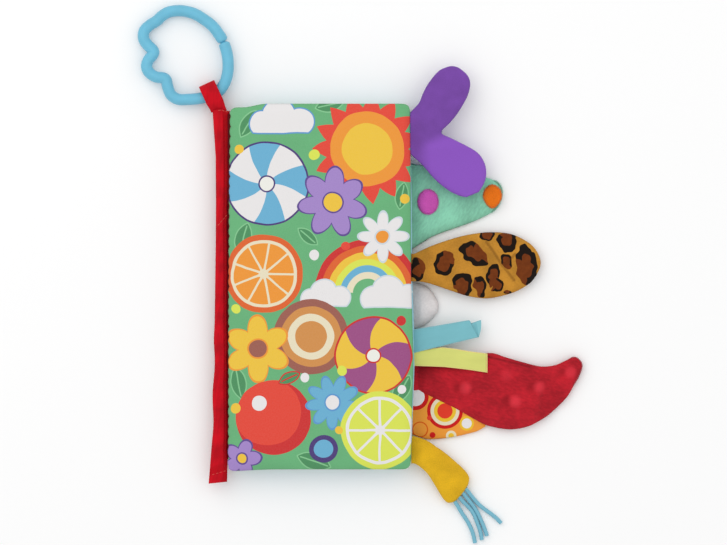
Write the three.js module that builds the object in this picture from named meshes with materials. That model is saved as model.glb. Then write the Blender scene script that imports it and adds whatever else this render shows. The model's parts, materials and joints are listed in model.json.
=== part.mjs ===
// A crinkle cloth book: three padded leaves sewn into a spine binding, cloth
// tails and ribbons round the open edge, and a split ring on a strap loop.
// Millimetres, +Z up. The book lies on its back cover, and the origin is the
// middle of that cover's underside. X runs from the spine to the open edge.
import * as THREE from 'three';

// Cloth and clearances
const cloth_thickness = 0.5;
const film_thickness = 0.2;
const layer_gap = 0.3;
const root_gap = 0.35;
const seam_half = cloth_thickness + layer_gap / 2;

// Leaves
const cover_width = 116;
const leaf_height = 234;
const leaf_thickness = 7;
const middle_leaf_overhang = 2;
const leaf_corner_radius = 5;
const spine_corner_drop = 5;
const open_edge_bulge = 1.2;
const flat_cut = 0.5;
const back_mid_z = leaf_thickness / 2 - flat_cut;
const leaf_pitch = leaf_thickness + layer_gap;
const middle_mid_z = back_mid_z + leaf_pitch;
const front_mid_z = middle_mid_z + leaf_pitch;

// Spine: hinge strips and binding tape
const strip_thickness = 1;
const strip_to_leaf_gap = 0.4;
const strip_depth = 5.8;
const hinge_x = -cover_width / 2 - strip_to_leaf_gap - strip_thickness / 2;
const strip_end_inset = 6.5;
const tape_thickness = 0.8;
const binding_width = 7.3;
const binding_swell = 4.7;
const binding_height = 3 * strip_thickness + 4 * layer_gap + 2 * tape_thickness;
const binding_right_x = hinge_x - strip_thickness / 2 - layer_gap;
const binding_top_y = 113.4;
const binding_length = 238.2;

// Strap loop and ring
const strap_width = 10;
const strap_inset = 5.2;
const strap_heading = THREE.MathUtils.degToRad(114.5);
const strap_hinge_heading = THREE.MathUtils.degToRad(9);
const ring_axis_heading = strap_heading - Math.PI / 2;
const strap_root_thickness = 1.2;
const strap_root_gap = 0.5;
const strap_hinge_x = binding_right_x - strap_inset;
const strap_hinge_y = binding_top_y + root_gap;
const strap_drop = 3.3;
const ring_wire = 7;
const ring_play = 0.9;
const loop_half = ring_wire / 2 + ring_play + tape_thickness;
const loop_centre = 10.4;
const loop_split = 1.5;
const loop_reach = 6.6;
const ring_radius = 26;
const ring_split_gap = 0.8;
const ring_tilt = THREE.MathUtils.degToRad(-2.9);

// Tails: reach from the leaf edge, place of the root along the edge, thickness
const purple_tail = { reach: 48, root_y: 98.9, thickness: 4.4, lift: -5 };
const leopard_tail = { reach: 80.6, root_y: 12.2, thickness: 6.4, lift: -6.4 };
const blue_ribbon = { reach: 42, root_y: -34.8, thickness: 2.4, lift: -2.2 };
const lime_ribbon = { reach: 46.7, root_y: -46.9, thickness: 1.8, lift: -1.4 };
const yellow_tail = { reach: 34.4, root_y: -104.8, thickness: 6, lift: -6.6 };
const green_tail = { reach: 57.8, root_y: 51.3, thickness: 4.6, lift: -0.4 };
const white_tail = { reach: 17.3, root_y: -12.4, thickness: 6.4, lift: 0.5 };
const red_tail = { reach: 108.9, root_y: -58.7, thickness: 6.6, lift: 1.3 };
const orange_tail = { reach: 48.2, root_y: -81.7, thickness: 2.6, lift: -1.2 };
const ribbon_gap = 0.6;
const spot_thickness = 1.2;
const string_diameter = 2.1;

// Colours, roughness
const red_cloth = { color: 0xc40d20, roughness: 0.85 };
const print_cloth = { color: 0x5fae73, roughness: 0.7 };
const sky_cloth = { color: 0x8fc4da, roughness: 0.7 };
const wadding_white = { color: 0xf0efe9, roughness: 1 };
const film_clear = { color: 0xdfe6ea, roughness: 0.25 };
const ring_blue = { color: 0x73c4de, roughness: 0.3 };
const purple_felt = { color: 0x7d4fa8, roughness: 0.95 };
const leopard_plush = { color: 0xbf8c33, roughness: 0.95 };
const blue_satin = { color: 0x70bac7, roughness: 0.5 };
const lime_satin = { color: 0xd9de73, roughness: 0.5 };
const yellow_velour = { color: 0xe0b021, roughness: 0.9 };
const green_fleece = { color: 0x62bfa0, roughness: 0.95 };
const white_plush = { color: 0xeceaec, roughness: 1 };
const red_plush = { color: 0xb81f2b, roughness: 0.95 };
const orange_print = { color: 0xed9433, roughness: 0.75 };
const magenta_pile = { color: 0xc44fa0, roughness: 1 };
const orange_pile = { color: 0xf0782a, roughness: 1 };

const book = new THREE.Group();

function addPiece(name, geometry, look) {
  const mesh = new THREE.Mesh(geometry, new THREE.MeshStandardMaterial({ ...look, metalness: 0 }));
  mesh.name = name;
  book.add(mesh);
  return mesh;
}

// A closed slab over a grid of plan points: plan, upper and lower give the
// place and the two heights of grid point (row, column).
function slab(rows, columns, plan, upper, lower) {
  const vertices = [];
  for (const height of [upper, lower])
    for (let row = 0; row < rows; row++)
      for (let column = 0; column < columns; column++) {
        const [x, y] = plan(row, column);
        vertices.push(x, y, height(row, column));
      }
  const top = (row, column) => row * columns + column;
  const bottom = (row, column) => rows * columns + top(row, column);
  const faces = [];
  const quad = (a, b, c, d) => faces.push(a, b, c, a, c, d);
  for (let row = 0; row + 1 < rows; row++) {
    for (let column = 0; column + 1 < columns; column++) {
      quad(top(row, column), top(row, column + 1), top(row + 1, column + 1), top(row + 1, column));
      faces.push(bottom(row, column), bottom(row + 1, column + 1), bottom(row, column + 1));
      faces.push(bottom(row, column), bottom(row + 1, column), bottom(row + 1, column + 1));
    }
    const last = columns - 1;
    quad(top(row, 0), top(row + 1, 0), bottom(row + 1, 0), bottom(row, 0));
    quad(top(row + 1, last), top(row, last), bottom(row, last), bottom(row + 1, last));
  }
  for (let column = 0; column + 1 < columns; column++) {
    const last = rows - 1;
    quad(top(0, column + 1), top(0, column), bottom(0, column), bottom(0, column + 1));
    quad(top(last, column), top(last, column + 1), bottom(last, column + 1), bottom(last, column));
  }
  const geometry = new THREE.BufferGeometry();
  geometry.setAttribute('position', new THREE.Float32BufferAttribute(vertices, 3));
  geometry.setIndex(faces);
  return geometry;
}

// Moves every vertex of a geometry to place(x, y, z).
function shaped(geometry, place) {
  const position = geometry.getAttribute('position');
  for (let i = 0; i < position.count; i++)
    position.setXYZ(i, ...place(position.getX(i), position.getY(i), position.getZ(i)));
  geometry.computeVertexNormals();
  return geometry;
}

// Leaves. Grid lines are shares of the half width and half height, and the
// outermost cells hold the seam and the round corners.
const edge_share_x = 1 - (2 * leaf_corner_radius) / cover_width;
const edge_share_y = 1 - (2 * leaf_corner_radius) / leaf_height;
const across_shares = [-1, -edge_share_x, -0.8, -0.42, 0, 0.42, 0.8, edge_share_x, 1];
const along_shares = [-1, -edge_share_y, -0.89, -0.68, -0.4, 0, 0.4, 0.68, 0.89, edge_share_y, 1];
const spine_corner_share = 0.62;
const bulge_centre_share = -0.38;
const bulge_spread_share = 0.3;
const corner_drop_power = 6;
const bulge_power = 8;
const side_crown_power = 6;
const end_crown_power = 12;

function leafPlan(width, right_x, edge_bulge, u, v) {
  const half_width = width / 2;
  const half_height = leaf_height / 2;
  let x = u * half_width;
  let y = v * half_height;
  const in_x = Math.abs(x) - (half_width - leaf_corner_radius);
  const in_y = Math.abs(y) - (half_height - leaf_corner_radius);
  if (in_x > 0 && in_y > 0) {
    const pull = Math.max(in_x, in_y) / Math.hypot(in_x, in_y);
    x = Math.sign(x) * (half_width - leaf_corner_radius + in_x * pull);
    y = Math.sign(y) * (half_height - leaf_corner_radius + in_y * pull);
  }
  const spine_side = Math.max(0, -u - spine_corner_share) / (1 - spine_corner_share);
  if (v > 0) y -= spine_corner_drop * spine_side * v ** corner_drop_power;
  const bulge = Math.exp(-(((v - bulge_centre_share) / bulge_spread_share) ** 2));
  if (u > 0) x += edge_bulge * bulge * u ** bulge_power;
  return [x + right_x - half_width, y];
}

function leafCrown(u, v) {
  const crown_share = (1 - u ** side_crown_power) * (1 - v ** end_crown_power);
  return seam_half + (leaf_thickness / 2 - seam_half) * crown_share;
}

function addLeaf(names, width, mid_z, looks, { underside_cut = 0, edge_bulge = 0 } = {}) {
  const right_x = -cover_width / 2 + width;
  const piece = (name, look, inset, upper, lower) => {
    const us = across_shares.slice(inset, across_shares.length - inset);
    const vs = along_shares.slice(inset, along_shares.length - inset);
    const crown = (row, column) => leafCrown(us[column], vs[row]);
    const under = (row, column) => Math.min(crown(row, column), leaf_thickness / 2 - underside_cut);
    addPiece(name, slab(
      vs.length,
      us.length,
      (row, column) => leafPlan(width, right_x, edge_bulge, us[column], vs[row]),
      (row, column) => mid_z + upper(crown(row, column), under(row, column)),
      (row, column) => mid_z + lower(crown(row, column), under(row, column)),
    ), look);
  };
  const film_level = (under) => cloth_thickness + layer_gap - under;
  piece(names[0], looks[0], 0, (over) => over, (over) => over - cloth_thickness);
  piece(
    names[1],
    wadding_white,
    1,
    (over) => over - cloth_thickness - layer_gap,
    (over, under) => film_level(under) + film_thickness + layer_gap,
  );
  piece(
    names[2],
    film_clear,
    1,
    (over, under) => film_level(under) + film_thickness,
    (over, under) => film_level(under),
  );
  piece(names[3], looks[1], 0, (over, under) => cloth_thickness - under, (over, under) => -under);
}

addLeaf(
  ['back_cover_inner_panel', 'back_cover_wadding', 'back_cover_crinkle_film', 'back_cover_outer_panel'],
  cover_width,
  back_mid_z,
  [sky_cloth, print_cloth],
  { underside_cut: flat_cut },
);
addLeaf(
  ['middle_leaf_front_panel', 'middle_leaf_wadding', 'middle_leaf_crinkle_film', 'middle_leaf_back_panel'],
  cover_width + middle_leaf_overhang,
  middle_mid_z,
  [sky_cloth, sky_cloth],
);
addLeaf(
  ['front_cover_outer_panel', 'front_cover_wadding', 'front_cover_crinkle_film', 'front_cover_inner_panel'],
  cover_width,
  front_mid_z,
  [print_cloth, sky_cloth],
  { edge_bulge: open_edge_bulge },
);

// An x-z outline run down the spine from its top to its bottom end.
function spineRun(shape, top_y, length, steps) {
  const geometry = new THREE.ExtrudeGeometry(shape, {
    depth: length,
    steps,
    curveSegments: 6,
    bevelEnabled: false,
  });
  return geometry.rotateX(Math.PI / 2).translate(0, top_y, 0);
}

// Hinge strips: the unpadded seam allowance of each leaf, caught in the
// binding. A cover's strip turns up or down to the fold that the cover turns on.
const strip_top_y = leaf_height / 2 - strip_end_inset;
const strip_length = leaf_height - 2 * strip_end_inset;
const strip_level = strip_thickness + layer_gap;
const strip_steps = 6;

function addCoverStrip(name, side, fold_z) {
  const inner_x = hinge_x - strip_depth;
  const half = strip_thickness / 2;
  const low = middle_mid_z + side * (strip_level - half);
  const high = low + side * strip_thickness;
  const shape = new THREE.Shape();
  shape.moveTo(inner_x, low);
  shape.lineTo(hinge_x + half, low);
  shape.lineTo(hinge_x + half, fold_z);
  shape.absarc(hinge_x, fold_z, half, 0, side * Math.PI, side < 0);
  shape.lineTo(hinge_x - half, high);
  shape.lineTo(inner_x, high);
  addPiece(name, spineRun(shape, strip_top_y, strip_length, strip_steps), red_cloth);
}

function addMiddleStrip() {
  const half = strip_thickness / 2;
  const right_x = -cover_width / 2 - layer_gap;
  const shape = new THREE.Shape();
  shape.moveTo(hinge_x - strip_depth, middle_mid_z - half);
  shape.lineTo(right_x, middle_mid_z - half);
  shape.lineTo(right_x, middle_mid_z + half);
  shape.lineTo(hinge_x - strip_depth, middle_mid_z + half);
  addPiece('middle_leaf_hinge_strip', spineRun(shape, strip_top_y, strip_length, strip_steps), sky_cloth);
}

addCoverStrip('front_cover_hinge_strip', 1, front_mid_z);
addMiddleStrip();
addCoverStrip('back_cover_hinge_strip', -1, back_mid_z);

// Binding: a tape folded round the three strips, open towards the leaves.
// Its left edge wanders with the hand sewing, and it runs on past the bottom.
const binding_sway_shares = [0.47, 0.04, 0, 0.04, 0.13, 0.23, 0.34, 0.49, 1];
const binding_lean_share = 0.15;

function addBinding() {
  const right_x = binding_right_x;
  const round_x = binding_right_x - binding_width + binding_height / 2;
  const outer = binding_height / 2;
  const inner = outer - tape_thickness;
  const shape = new THREE.Shape();
  shape.moveTo(right_x, middle_mid_z + outer);
  shape.lineTo(round_x, middle_mid_z + outer);
  shape.absarc(round_x, middle_mid_z, outer, Math.PI / 2, Math.PI * 1.5, false);
  shape.lineTo(right_x, middle_mid_z - outer);
  shape.lineTo(right_x, middle_mid_z - inner);
  shape.lineTo(round_x, middle_mid_z - inner);
  shape.absarc(round_x, middle_mid_z, inner, Math.PI * 1.5, Math.PI / 2, true);
  shape.lineTo(right_x, middle_mid_z + inner);
  const last = binding_sway_shares.length - 1;
  const geometry = spineRun(shape, binding_top_y, binding_length, last);
  const end_slant = Math.tan(strap_hinge_heading);
  addPiece('spine_binding', shaped(geometry, (x, y, z) => {
    const share = (binding_top_y - y) / binding_length;
    const place = share * last;
    const index = Math.max(0, Math.min(last - 1, Math.floor(place)));
    const sway_from = binding_sway_shares[index];
    const sway = sway_from + (place - index) * (binding_sway_shares[index + 1] - sway_from);
    const left = (right_x - x) / binding_width;
    const slant = (x - strap_hinge_x) * end_slant * Math.abs(1 - 2 * share);
    return [x - binding_swell * sway * (left + binding_lean_share * (1 - left) * sway), y + slant, z];
  }), red_cloth);
}
addBinding();

// Strap: a tape loop sewn to the binding's top end, drawn in its own frame
// with s along the strap from its fold line and h above its middle.
const smooth = (share) => {
  const t = Math.min(1, Math.max(0, share));
  return t * t * (3 - 2 * t);
};

function teardrop(start, end, start_half, widest_half, steps) {
  const side = [];
  for (let i = 0; i <= steps; i++) {
    const s = start + ((loop_centre - start) * i) / steps;
    side.push([s, start_half + (widest_half - start_half) * smooth(i / steps)]);
  }
  for (let i = 1; i < steps; i++) {
    const turn = (Math.PI / 2) * (i / steps);
    side.push([loop_centre + (end - loop_centre) * Math.sin(turn), widest_half * Math.cos(turn)]);
  }
  const points = side.map(([s, h]) => new THREE.Vector2(s, h));
  points.push(new THREE.Vector2(end, 0));
  const under = side.reverse().filter(([, h]) => h > 0);
  points.push(...under.map(([s, h]) => new THREE.Vector2(s, -h)));
  return points;
}

const strap_middle_z = (s) => middle_mid_z - strap_drop * smooth(s / loop_centre);

function strapPoint(s, h, across) {
  const turned = smooth(s / loop_centre);
  const side_heading = strap_hinge_heading + turned * (strap_heading - Math.PI / 2 - strap_hinge_heading);
  return [
    strap_hinge_x + s * Math.cos(strap_heading) + across * Math.cos(side_heading),
    strap_hinge_y + s * Math.sin(strap_heading) + across * Math.sin(side_heading),
    strap_middle_z(s) + h,
  ];
}

function addStrap() {
  const steps = 6;
  const end = loop_centre + loop_reach;
  const half = strap_root_thickness / 2;
  const shape = new THREE.Shape(teardrop(strap_root_gap, end, half, loop_half, steps));
  const inside = teardrop(loop_split, end - tape_thickness, 0, loop_half - tape_thickness, steps);
  shape.holes.push(new THREE.Path(inside.reverse()));
  const geometry = new THREE.ExtrudeGeometry(shape, {
    depth: strap_width,
    steps: 2,
    bevelEnabled: false,
  });
  const centred = (s, h, across) => strapPoint(s, h, across - strap_width / 2);
  addPiece('ring_strap', shaped(geometry, centred), red_cloth);
}
addStrap();

// Ring: a plastic wire bent to a round back and a scalloped front, split once.
// Each row is an angle about the ring's middle and a share of its radius.
const ring_outline_shares = [
  [24, 0.94], [34, 0.93], [50, 0.95], [66, 0.98], [82, 1.05], [98, 1.12], [112, 1.17],
  [122, 1.17], [131, 1.15], [141, 1.2], [150, 1.23], [158, 1.17], [164, 1.04], [171, 0.86],
  [177, 0.85], [186, 0.97], [194, 1.04], [203, 1.03], [213, 0.94], [222, 0.81], [229, 0.8],
  [237, 0.9], [247, 1.04], [258, 1.09], [271, 1.07], [283, 1.08], [294, 1.108], [303, 1.12], [312, 1.158],
  [325, 1.12], [338, 1.06], [352, 1], [6, 0.96], [20, 0.94],
];
const ring_sides = 10;
const ring_steps = 72;
const strap_wire_angle = 303;
const strap_wire_share = 1.12;

function ringPoint(angle, share) {
  const turn = THREE.MathUtils.degToRad(angle);
  return new THREE.Vector3(Math.cos(turn), Math.sin(turn), 0).multiplyScalar(ring_radius * share);
}

function addRing() {
  const held = ringPoint(strap_wire_angle, strap_wire_share);
  const points = ring_outline_shares.map(([angle, share]) => ringPoint(angle, share).sub(held));
  const first = points[0];
  const last = points[points.length - 1];
  const short_of_split = first.clone().sub(last).setLength(ring_split_gap / 2);
  const meeting = first.clone().add(last).multiplyScalar(1 / 2);
  points[0] = meeting.clone().add(short_of_split);
  points[points.length - 1] = meeting.clone().sub(short_of_split);
  const section = new THREE.Shape();
  section.absarc(0, 0, ring_wire / 2, 0, Math.PI * 2, false);
  const geometry = new THREE.ExtrudeGeometry(new THREE.Shape(section.getPoints(ring_sides).slice(0, -1)), {
    steps: ring_steps,
    bevelEnabled: false,
    extrudePath: new THREE.CatmullRomCurve3(points),
  });
  const ring = addPiece('link_ring', geometry, ring_blue);
  ring.position.set(...strapPoint(loop_centre, 0, 0));
  const axis = new THREE.Vector3(Math.cos(ring_axis_heading), Math.sin(ring_axis_heading), 0);
  ring.quaternion.setFromAxisAngle(axis, ring_tilt);
}
addRing();

// Tails. A row of a table gives the two edge points of one section, as shares
// of the tail's reach, then the section's fullness and its share of the lift.
const section_shares = [-1, -0.7, -0.25, 0.25, 0.7, 1];
const section_roundness = 3;

const leopard_shares = [
  [0.004, 0.111, 0.004, -0.111, 0, 0], [0.079, 0.148, 0.079, -0.118, 0.4, 0.02],
  [0.164, 0.183, 0.164, -0.142, 0.62, 0.08], [0.301, 0.229, 0.301, -0.189, 0.82, 0.25],
  [0.438, 0.263, 0.438, -0.231, 0.95, 0.45], [0.575, 0.28, 0.575, -0.247, 1, 0.65],
  [0.712, 0.277, 0.69, -0.229, 1, 0.85], [0.815, 0.251, 0.815, -0.189, 0.95, 0.95],
  [0.917, 0.193, 0.917, -0.128, 0.75, 1], [0.972, 0.135, 0.968, -0.068, 0.45, 1],
  [1, 0.075, 1, -0.004, 0.1, 1],
];
const green_shares = [
  [0.02, 0.476, 0.02, -0.476, 0, 0], [0.12, 0.457, 0.122, -0.4, 0.8, 0.2],
  [0.238, 0.437, 0.244, -0.329, 1, 0.5], [0.426, 0.402, 0.426, -0.26, 1, 0.8],
  [0.615, 0.365, 0.615, -0.196, 1, 1], [0.759, 0.338, 0.759, -0.136, 1, 1],
  [0.869, 0.313, 0.88, -0.074, 0.95, 1], [0.947, 0.275, 0.947, -0.013, 0.85, 1],
  [1, 0.214, 0.997, 0.07, 0.5, 1],
];
const white_shares = [
  [0.066, 0.867, 0.066, -0.867, 0, 0], [0.2, 0.845, 0.2, -0.83, 0.6, 0.3],
  [0.4, 0.79, 0.4, -0.76, 1, 1], [0.646, 0.657, 0.646, -0.598, 1, 1],
  [0.867, 0.399, 0.867, -0.376, 0.8, 1], [1, 0.103, 1, -0.192, 0.3, 1],
];
const red_shares = [
  [0.011, 0.069, 0.011, -0.069, 0, 0], [0.05, 0.077, 0.052, -0.086, 0.3, 0.6],
  [0.097, 0.085, 0.101, -0.104, 0.6, 1], [0.185, 0.101, 0.185, -0.144, 0.85, 1],
  [0.27, 0.116, 0.27, -0.185, 0.95, 1], [0.367, 0.134, 0.355, -0.234, 1, 1],
  [0.472, 0.147, 0.438, -0.278, 1, 0.9], [0.555, 0.122, 0.52, -0.298, 1, 0.7],
  [0.649, 0.095, 0.602, -0.304, 1, 0.5], [0.759, 0.068, 0.691, -0.286, 1, 0.4],
  [0.843, 0.074, 0.761, -0.251, 0.95, 0.4], [0.91, 0.102, 0.826, -0.206, 0.85, 0.5],
  [0.957, 0.121, 0.919, -0.113, 0.7, 0.8], [0.992, 0.104, 0.978, -0.02, 0.4, 1.2],
  [1, 0.072, 0.996, 0.025, 0.1, 1.3],
];
const orange_shares = [
  [0.024, 0.244, 0.024, -0.274, 0, 0], [0.1, 0.265, 0.1, -0.31, 0.6, 0.7],
  [0.219, 0.297, 0.21, -0.341, 1, 1], [0.405, 0.2, 0.405, -0.334, 1, 1],
  [0.61, 0.1, 0.61, -0.303, 1, 1], [0.75, 0.018, 0.75, -0.27, 1, 1],
  [0.876, -0.058, 0.876, -0.236, 0.9, 1], [1, -0.115, 1, -0.169, 0.5, 1],
];
const blue_shares = [
  [0.017, 0.177, 0.017, -0.177, 0, 0], [0.272, 0.219, 0.272, -0.116, 0.6, 0.25],
  [0.562, 0.269, 0.562, -0.046, 0.9, 0.6], [0.79, 0.309, 0.76, 0.002, 1, 0.85],
  [1, 0.315, 0.963, 0.052, 1, 1],
];
const lime_shares = [
  [0.015, 0.2, 0.015, -0.086, 0, 0], [0.246, 0.19, 0.246, -0.095, 0.7, 0.2],
  [0.405, 0.169, 0.424, -0.104, 1, 0.5], [0.575, 0.141, 0.575, -0.12, 1, 0.8],
  [0.756, 0.11, 0.756, -0.142, 1, 1], [1, 0.087, 1, -0.179, 1, 1],
];
const yellow_shares = [
  [0.02, 0.256, 0.02, -0.256, 0, 0], [0.227, 0.181, 0.119, -0.33, 0.6, 0.12],
  [0.407, 0.06, 0.253, -0.46, 0.85, 0.35], [0.572, -0.059, 0.387, -0.672, 1, 0.6],
  [0.742, -0.209, 0.472, -0.813, 1, 0.8], [0.892, -0.352, 0.546, -0.927, 1, 0.95],
  [1, -0.512, 0.626, -0.993, 1, 1], [0.98, -0.627, 0.723, -0.967, 0.9, 1.02],
];
const purple_shares = [
  [0.733, -0.869, 0.9, -0.801, 0.4, 1], [0.637, -0.849, 0.971, -0.683, 0.8, 1],
  [0.495, -0.779, 1, -0.552, 0.95, 0.9], [0.316, -0.635, 0.976, -0.409, 1, 0.8],
  [0.137, -0.433, 0.887, -0.279, 1, 0.5], [0.05, -0.267, 0.732, -0.183, 1, 0.08],
  [0, -0.16, 0.54, -0.087, 0.9, 0], [0, -0.013, 0.397, -0.007, 0.8, 0],
  [0, 0.16, 0.507, 0.115, 0.9, 0], [0.06, 0.28, 0.613, 0.245, 1, 0.08],
  [0.137, 0.484, 0.744, 0.46, 1, 0.5], [0.232, 0.651, 0.785, 0.613, 1, 0.8],
  [0.352, 0.805, 0.753, 0.747, 0.8, 0.9], [0.473, 0.86, 0.62, 0.853, 0.3, 1],
];

// Sections of a tail as real sizes: plan(row, share across), height(row,
// share across) above its middle, and the middle's height of each row.
function tailForm(tail, shares, edge_x, mid_z, roundness = section_roundness) {
  const root = new THREE.Vector2(edge_x + root_gap, tail.root_y);
  const edgePoint = (x, y) => new THREE.Vector2(x, y).multiplyScalar(tail.reach).add(root);
  const rows = shares.map(([ax, ay, bx, by, fullness, lifted]) => ({
    a: edgePoint(ax, ay),
    b: edgePoint(bx, by),
    full: fullness * (tail.thickness / 2 - seam_half),
    middle: mid_z + lifted * tail.lift,
  }));
  const starts_square = shares[0][0] === shares[0][2];
  if (starts_square) {
    rows[0].a.x = root.x;
    rows[0].b.x = root.x;
  }
  return {
    rows,
    plan: (row, share) => rows[row].a.clone().lerp(rows[row].b, (share + 1) / 2).toArray(),
    height: (row, share) => seam_half + rows[row].full * (1 - Math.abs(share) ** roundness),
    middle: (row) => rows[row].middle,
  };
}

function addSolidTail(name, form, look) {
  addPiece(name, slab(
    form.rows.length,
    section_shares.length,
    (row, column) => form.plan(row, section_shares[column]),
    (row, column) => form.middle(row) + form.height(row, section_shares[column]),
    (row, column) => form.middle(row) - form.height(row, section_shares[column]),
  ), look);
}

// A stuffed tail: a front and a back cloth sewn round a filling.
function addStuffedTail(name, form, look, first_row, last_row) {
  const shares = section_shares;
  const inner = shares.slice(1, -1);
  const filled = layer_gap + cloth_thickness;
  const plan = (row, column) => form.plan(row, shares[column]);
  const height = (row, column) => form.height(row, shares[column]);
  const filling_half = (row, column) => form.height(row + first_row, inner[column]) - filled;
  addPiece(`${name}_front_cloth`, slab(
    form.rows.length,
    shares.length,
    plan,
    (row, column) => form.middle(row) + height(row, column),
    (row, column) => form.middle(row) + height(row, column) - cloth_thickness,
  ), look);
  addPiece(`${name}_stuffing`, slab(
    last_row - first_row + 1,
    inner.length,
    (row, column) => form.plan(row + first_row, inner[column]),
    (row, column) => form.middle(row + first_row) + filling_half(row, column),
    (row, column) => form.middle(row + first_row) - filling_half(row, column),
  ), wadding_white);
  addPiece(`${name}_back_cloth`, slab(
    form.rows.length,
    shares.length,
    plan,
    (row, column) => form.middle(row) - height(row, column) + cloth_thickness,
    (row, column) => form.middle(row) - height(row, column),
  ), look);
}

const cover_edge_x = cover_width / 2;
const middle_edge_x = cover_edge_x + middle_leaf_overhang;
const flat_roundness = 6;

addSolidTail(
  'purple_felt_tail',
  tailForm(purple_tail, purple_shares, cover_edge_x, front_mid_z),
  purple_felt,
);
addStuffedTail(
  'leopard_tail',
  tailForm(leopard_tail, leopard_shares, middle_edge_x, middle_mid_z),
  leopard_plush,
  1,
  leopard_shares.length - 2,
);
addStuffedTail(
  'white_tail',
  tailForm(white_tail, white_shares, cover_edge_x, back_mid_z),
  white_plush,
  1,
  white_shares.length - 2,
);
addStuffedTail(
  'red_tail',
  tailForm(red_tail, red_shares, cover_edge_x, back_mid_z),
  red_plush,
  2,
  red_shares.length - 2,
);
addSolidTail(
  'orange_print_tail',
  tailForm(orange_tail, orange_shares, cover_edge_x, back_mid_z, flat_roundness),
  orange_print,
);
addSolidTail(
  'yellow_velour_tail',
  tailForm(yellow_tail, yellow_shares, middle_edge_x, middle_mid_z),
  yellow_velour,
);

// Ribbons lie side by side in the seam: the lime one starts clear of the
// lower edge of the blue one.
const blue_form = tailForm(blue_ribbon, blue_shares, middle_edge_x, middle_mid_z, flat_roundness);
const lime_form = tailForm(lime_ribbon, lime_shares, middle_edge_x, middle_mid_z, flat_roundness);
for (const { a } of lime_form.rows) {
  const lower = blue_form.rows.map((row) => row.b);
  const next = lower.findIndex((point) => point.x >= a.x);
  if (next < 0) continue;
  const from = lower[Math.max(0, next - 1)];
  const share = next === 0 ? 0 : (a.x - from.x) / (lower[next].x - from.x);
  a.y = Math.min(a.y, from.y + share * (lower[next].y - from.y) - ribbon_gap);
}
addSolidTail('blue_ribbon_loop', blue_form, blue_satin);
addSolidTail('lime_ribbon_loop', lime_form, lime_satin);

// Green tail with two pile spots sewn on its front.
const green_form = tailForm(green_tail, green_shares, cover_edge_x, back_mid_z, flat_roundness);
addSolidTail('green_fleece_tail', green_form, green_fleece);

// Height of the green tail's front at a plan point.
function greenFront(x, y) {
  const { rows } = green_form;
  const middle_x = (row) => (row.a.x + row.b.x) / 2;
  const next = Math.max(1, rows.findIndex((row) => middle_x(row) >= x));
  const [from, to] = [rows[next - 1], rows[next]];
  const share = (x - middle_x(from)) / (middle_x(to) - middle_x(from));
  const mix = (p, q) => p + share * (q - p);
  const top_y = mix(from.a.y, to.a.y);
  const low_y = mix(from.b.y, to.b.y);
  const across = (2 * (top_y - y)) / (top_y - low_y) - 1;
  const full = mix(from.full, to.full) * (1 - Math.abs(across) ** flat_roundness);
  return mix(from.middle, to.middle) + seam_half + full;
}

// A spot is centred at shares of the green tail's reach from its root.
const spot_ring_shares = [0, 0.5, 0.85, 1];
const spot_rim_share = 0.35;
const spot_turns = 16;

function addSpot(name, look, centre_shares, size_shares) {
  const centre_x = cover_edge_x + root_gap + centre_shares[0] * green_tail.reach;
  const centre_y = green_tail.root_y + centre_shares[1] * green_tail.reach;
  const vertices = [];
  const faces = [];
  const place = (ring, turn, top) => {
    const angle = (turn / spot_turns) * Math.PI * 2;
    const out_share = spot_ring_shares[ring];
    const x = centre_x + (size_shares[0] / 2) * green_tail.reach * out_share * Math.cos(angle);
    const y = centre_y + (size_shares[1] / 2) * green_tail.reach * out_share * Math.sin(angle);
    const pile_share = spot_rim_share + (1 - spot_rim_share) * Math.sqrt(1 - out_share ** 2);
    vertices.push(x, y, greenFront(x, y) + layer_gap + (top ? spot_thickness * pile_share : 0));
  };
  for (const top of [true, false]) {
    place(0, 0, top);
    for (let ring = 1; ring < spot_ring_shares.length; ring++)
      for (let turn = 0; turn < spot_turns; turn++) place(ring, turn, top);
  }
  const layer = 1 + (spot_ring_shares.length - 1) * spot_turns;
  const at = (side, ring, turn) => {
    const in_layer = ring === 0 ? 0 : 1 + (ring - 1) * spot_turns + (turn % spot_turns);
    return side * layer + in_layer;
  };
  for (let turn = 0; turn < spot_turns; turn++) {
    faces.push(at(0, 0, 0), at(0, 1, turn), at(0, 1, turn + 1));
    faces.push(at(1, 0, 0), at(1, 1, turn + 1), at(1, 1, turn));
    for (let ring = 1; ring + 1 < spot_ring_shares.length; ring++) {
      faces.push(at(0, ring, turn), at(0, ring + 1, turn), at(0, ring + 1, turn + 1));
      faces.push(at(0, ring, turn), at(0, ring + 1, turn + 1), at(0, ring, turn + 1));
      faces.push(at(1, ring, turn), at(1, ring + 1, turn + 1), at(1, ring + 1, turn));
      faces.push(at(1, ring, turn), at(1, ring, turn + 1), at(1, ring + 1, turn + 1));
    }
    const rim = spot_ring_shares.length - 1;
    faces.push(at(0, rim, turn), at(1, rim, turn), at(1, rim, turn + 1));
    faces.push(at(0, rim, turn), at(1, rim, turn + 1), at(0, rim, turn + 1));
  }
  const geometry = new THREE.BufferGeometry();
  geometry.setAttribute('position', new THREE.Float32BufferAttribute(vertices, 3));
  geometry.setIndex(faces);
  addPiece(name, geometry, look);
}
addSpot('magenta_spot', magenta_pile, [0.17, 0.048], [0.232, 0.288]);
addSpot('orange_spot', orange_pile, [0.875, 0.112], [0.2, 0.25]);

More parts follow.
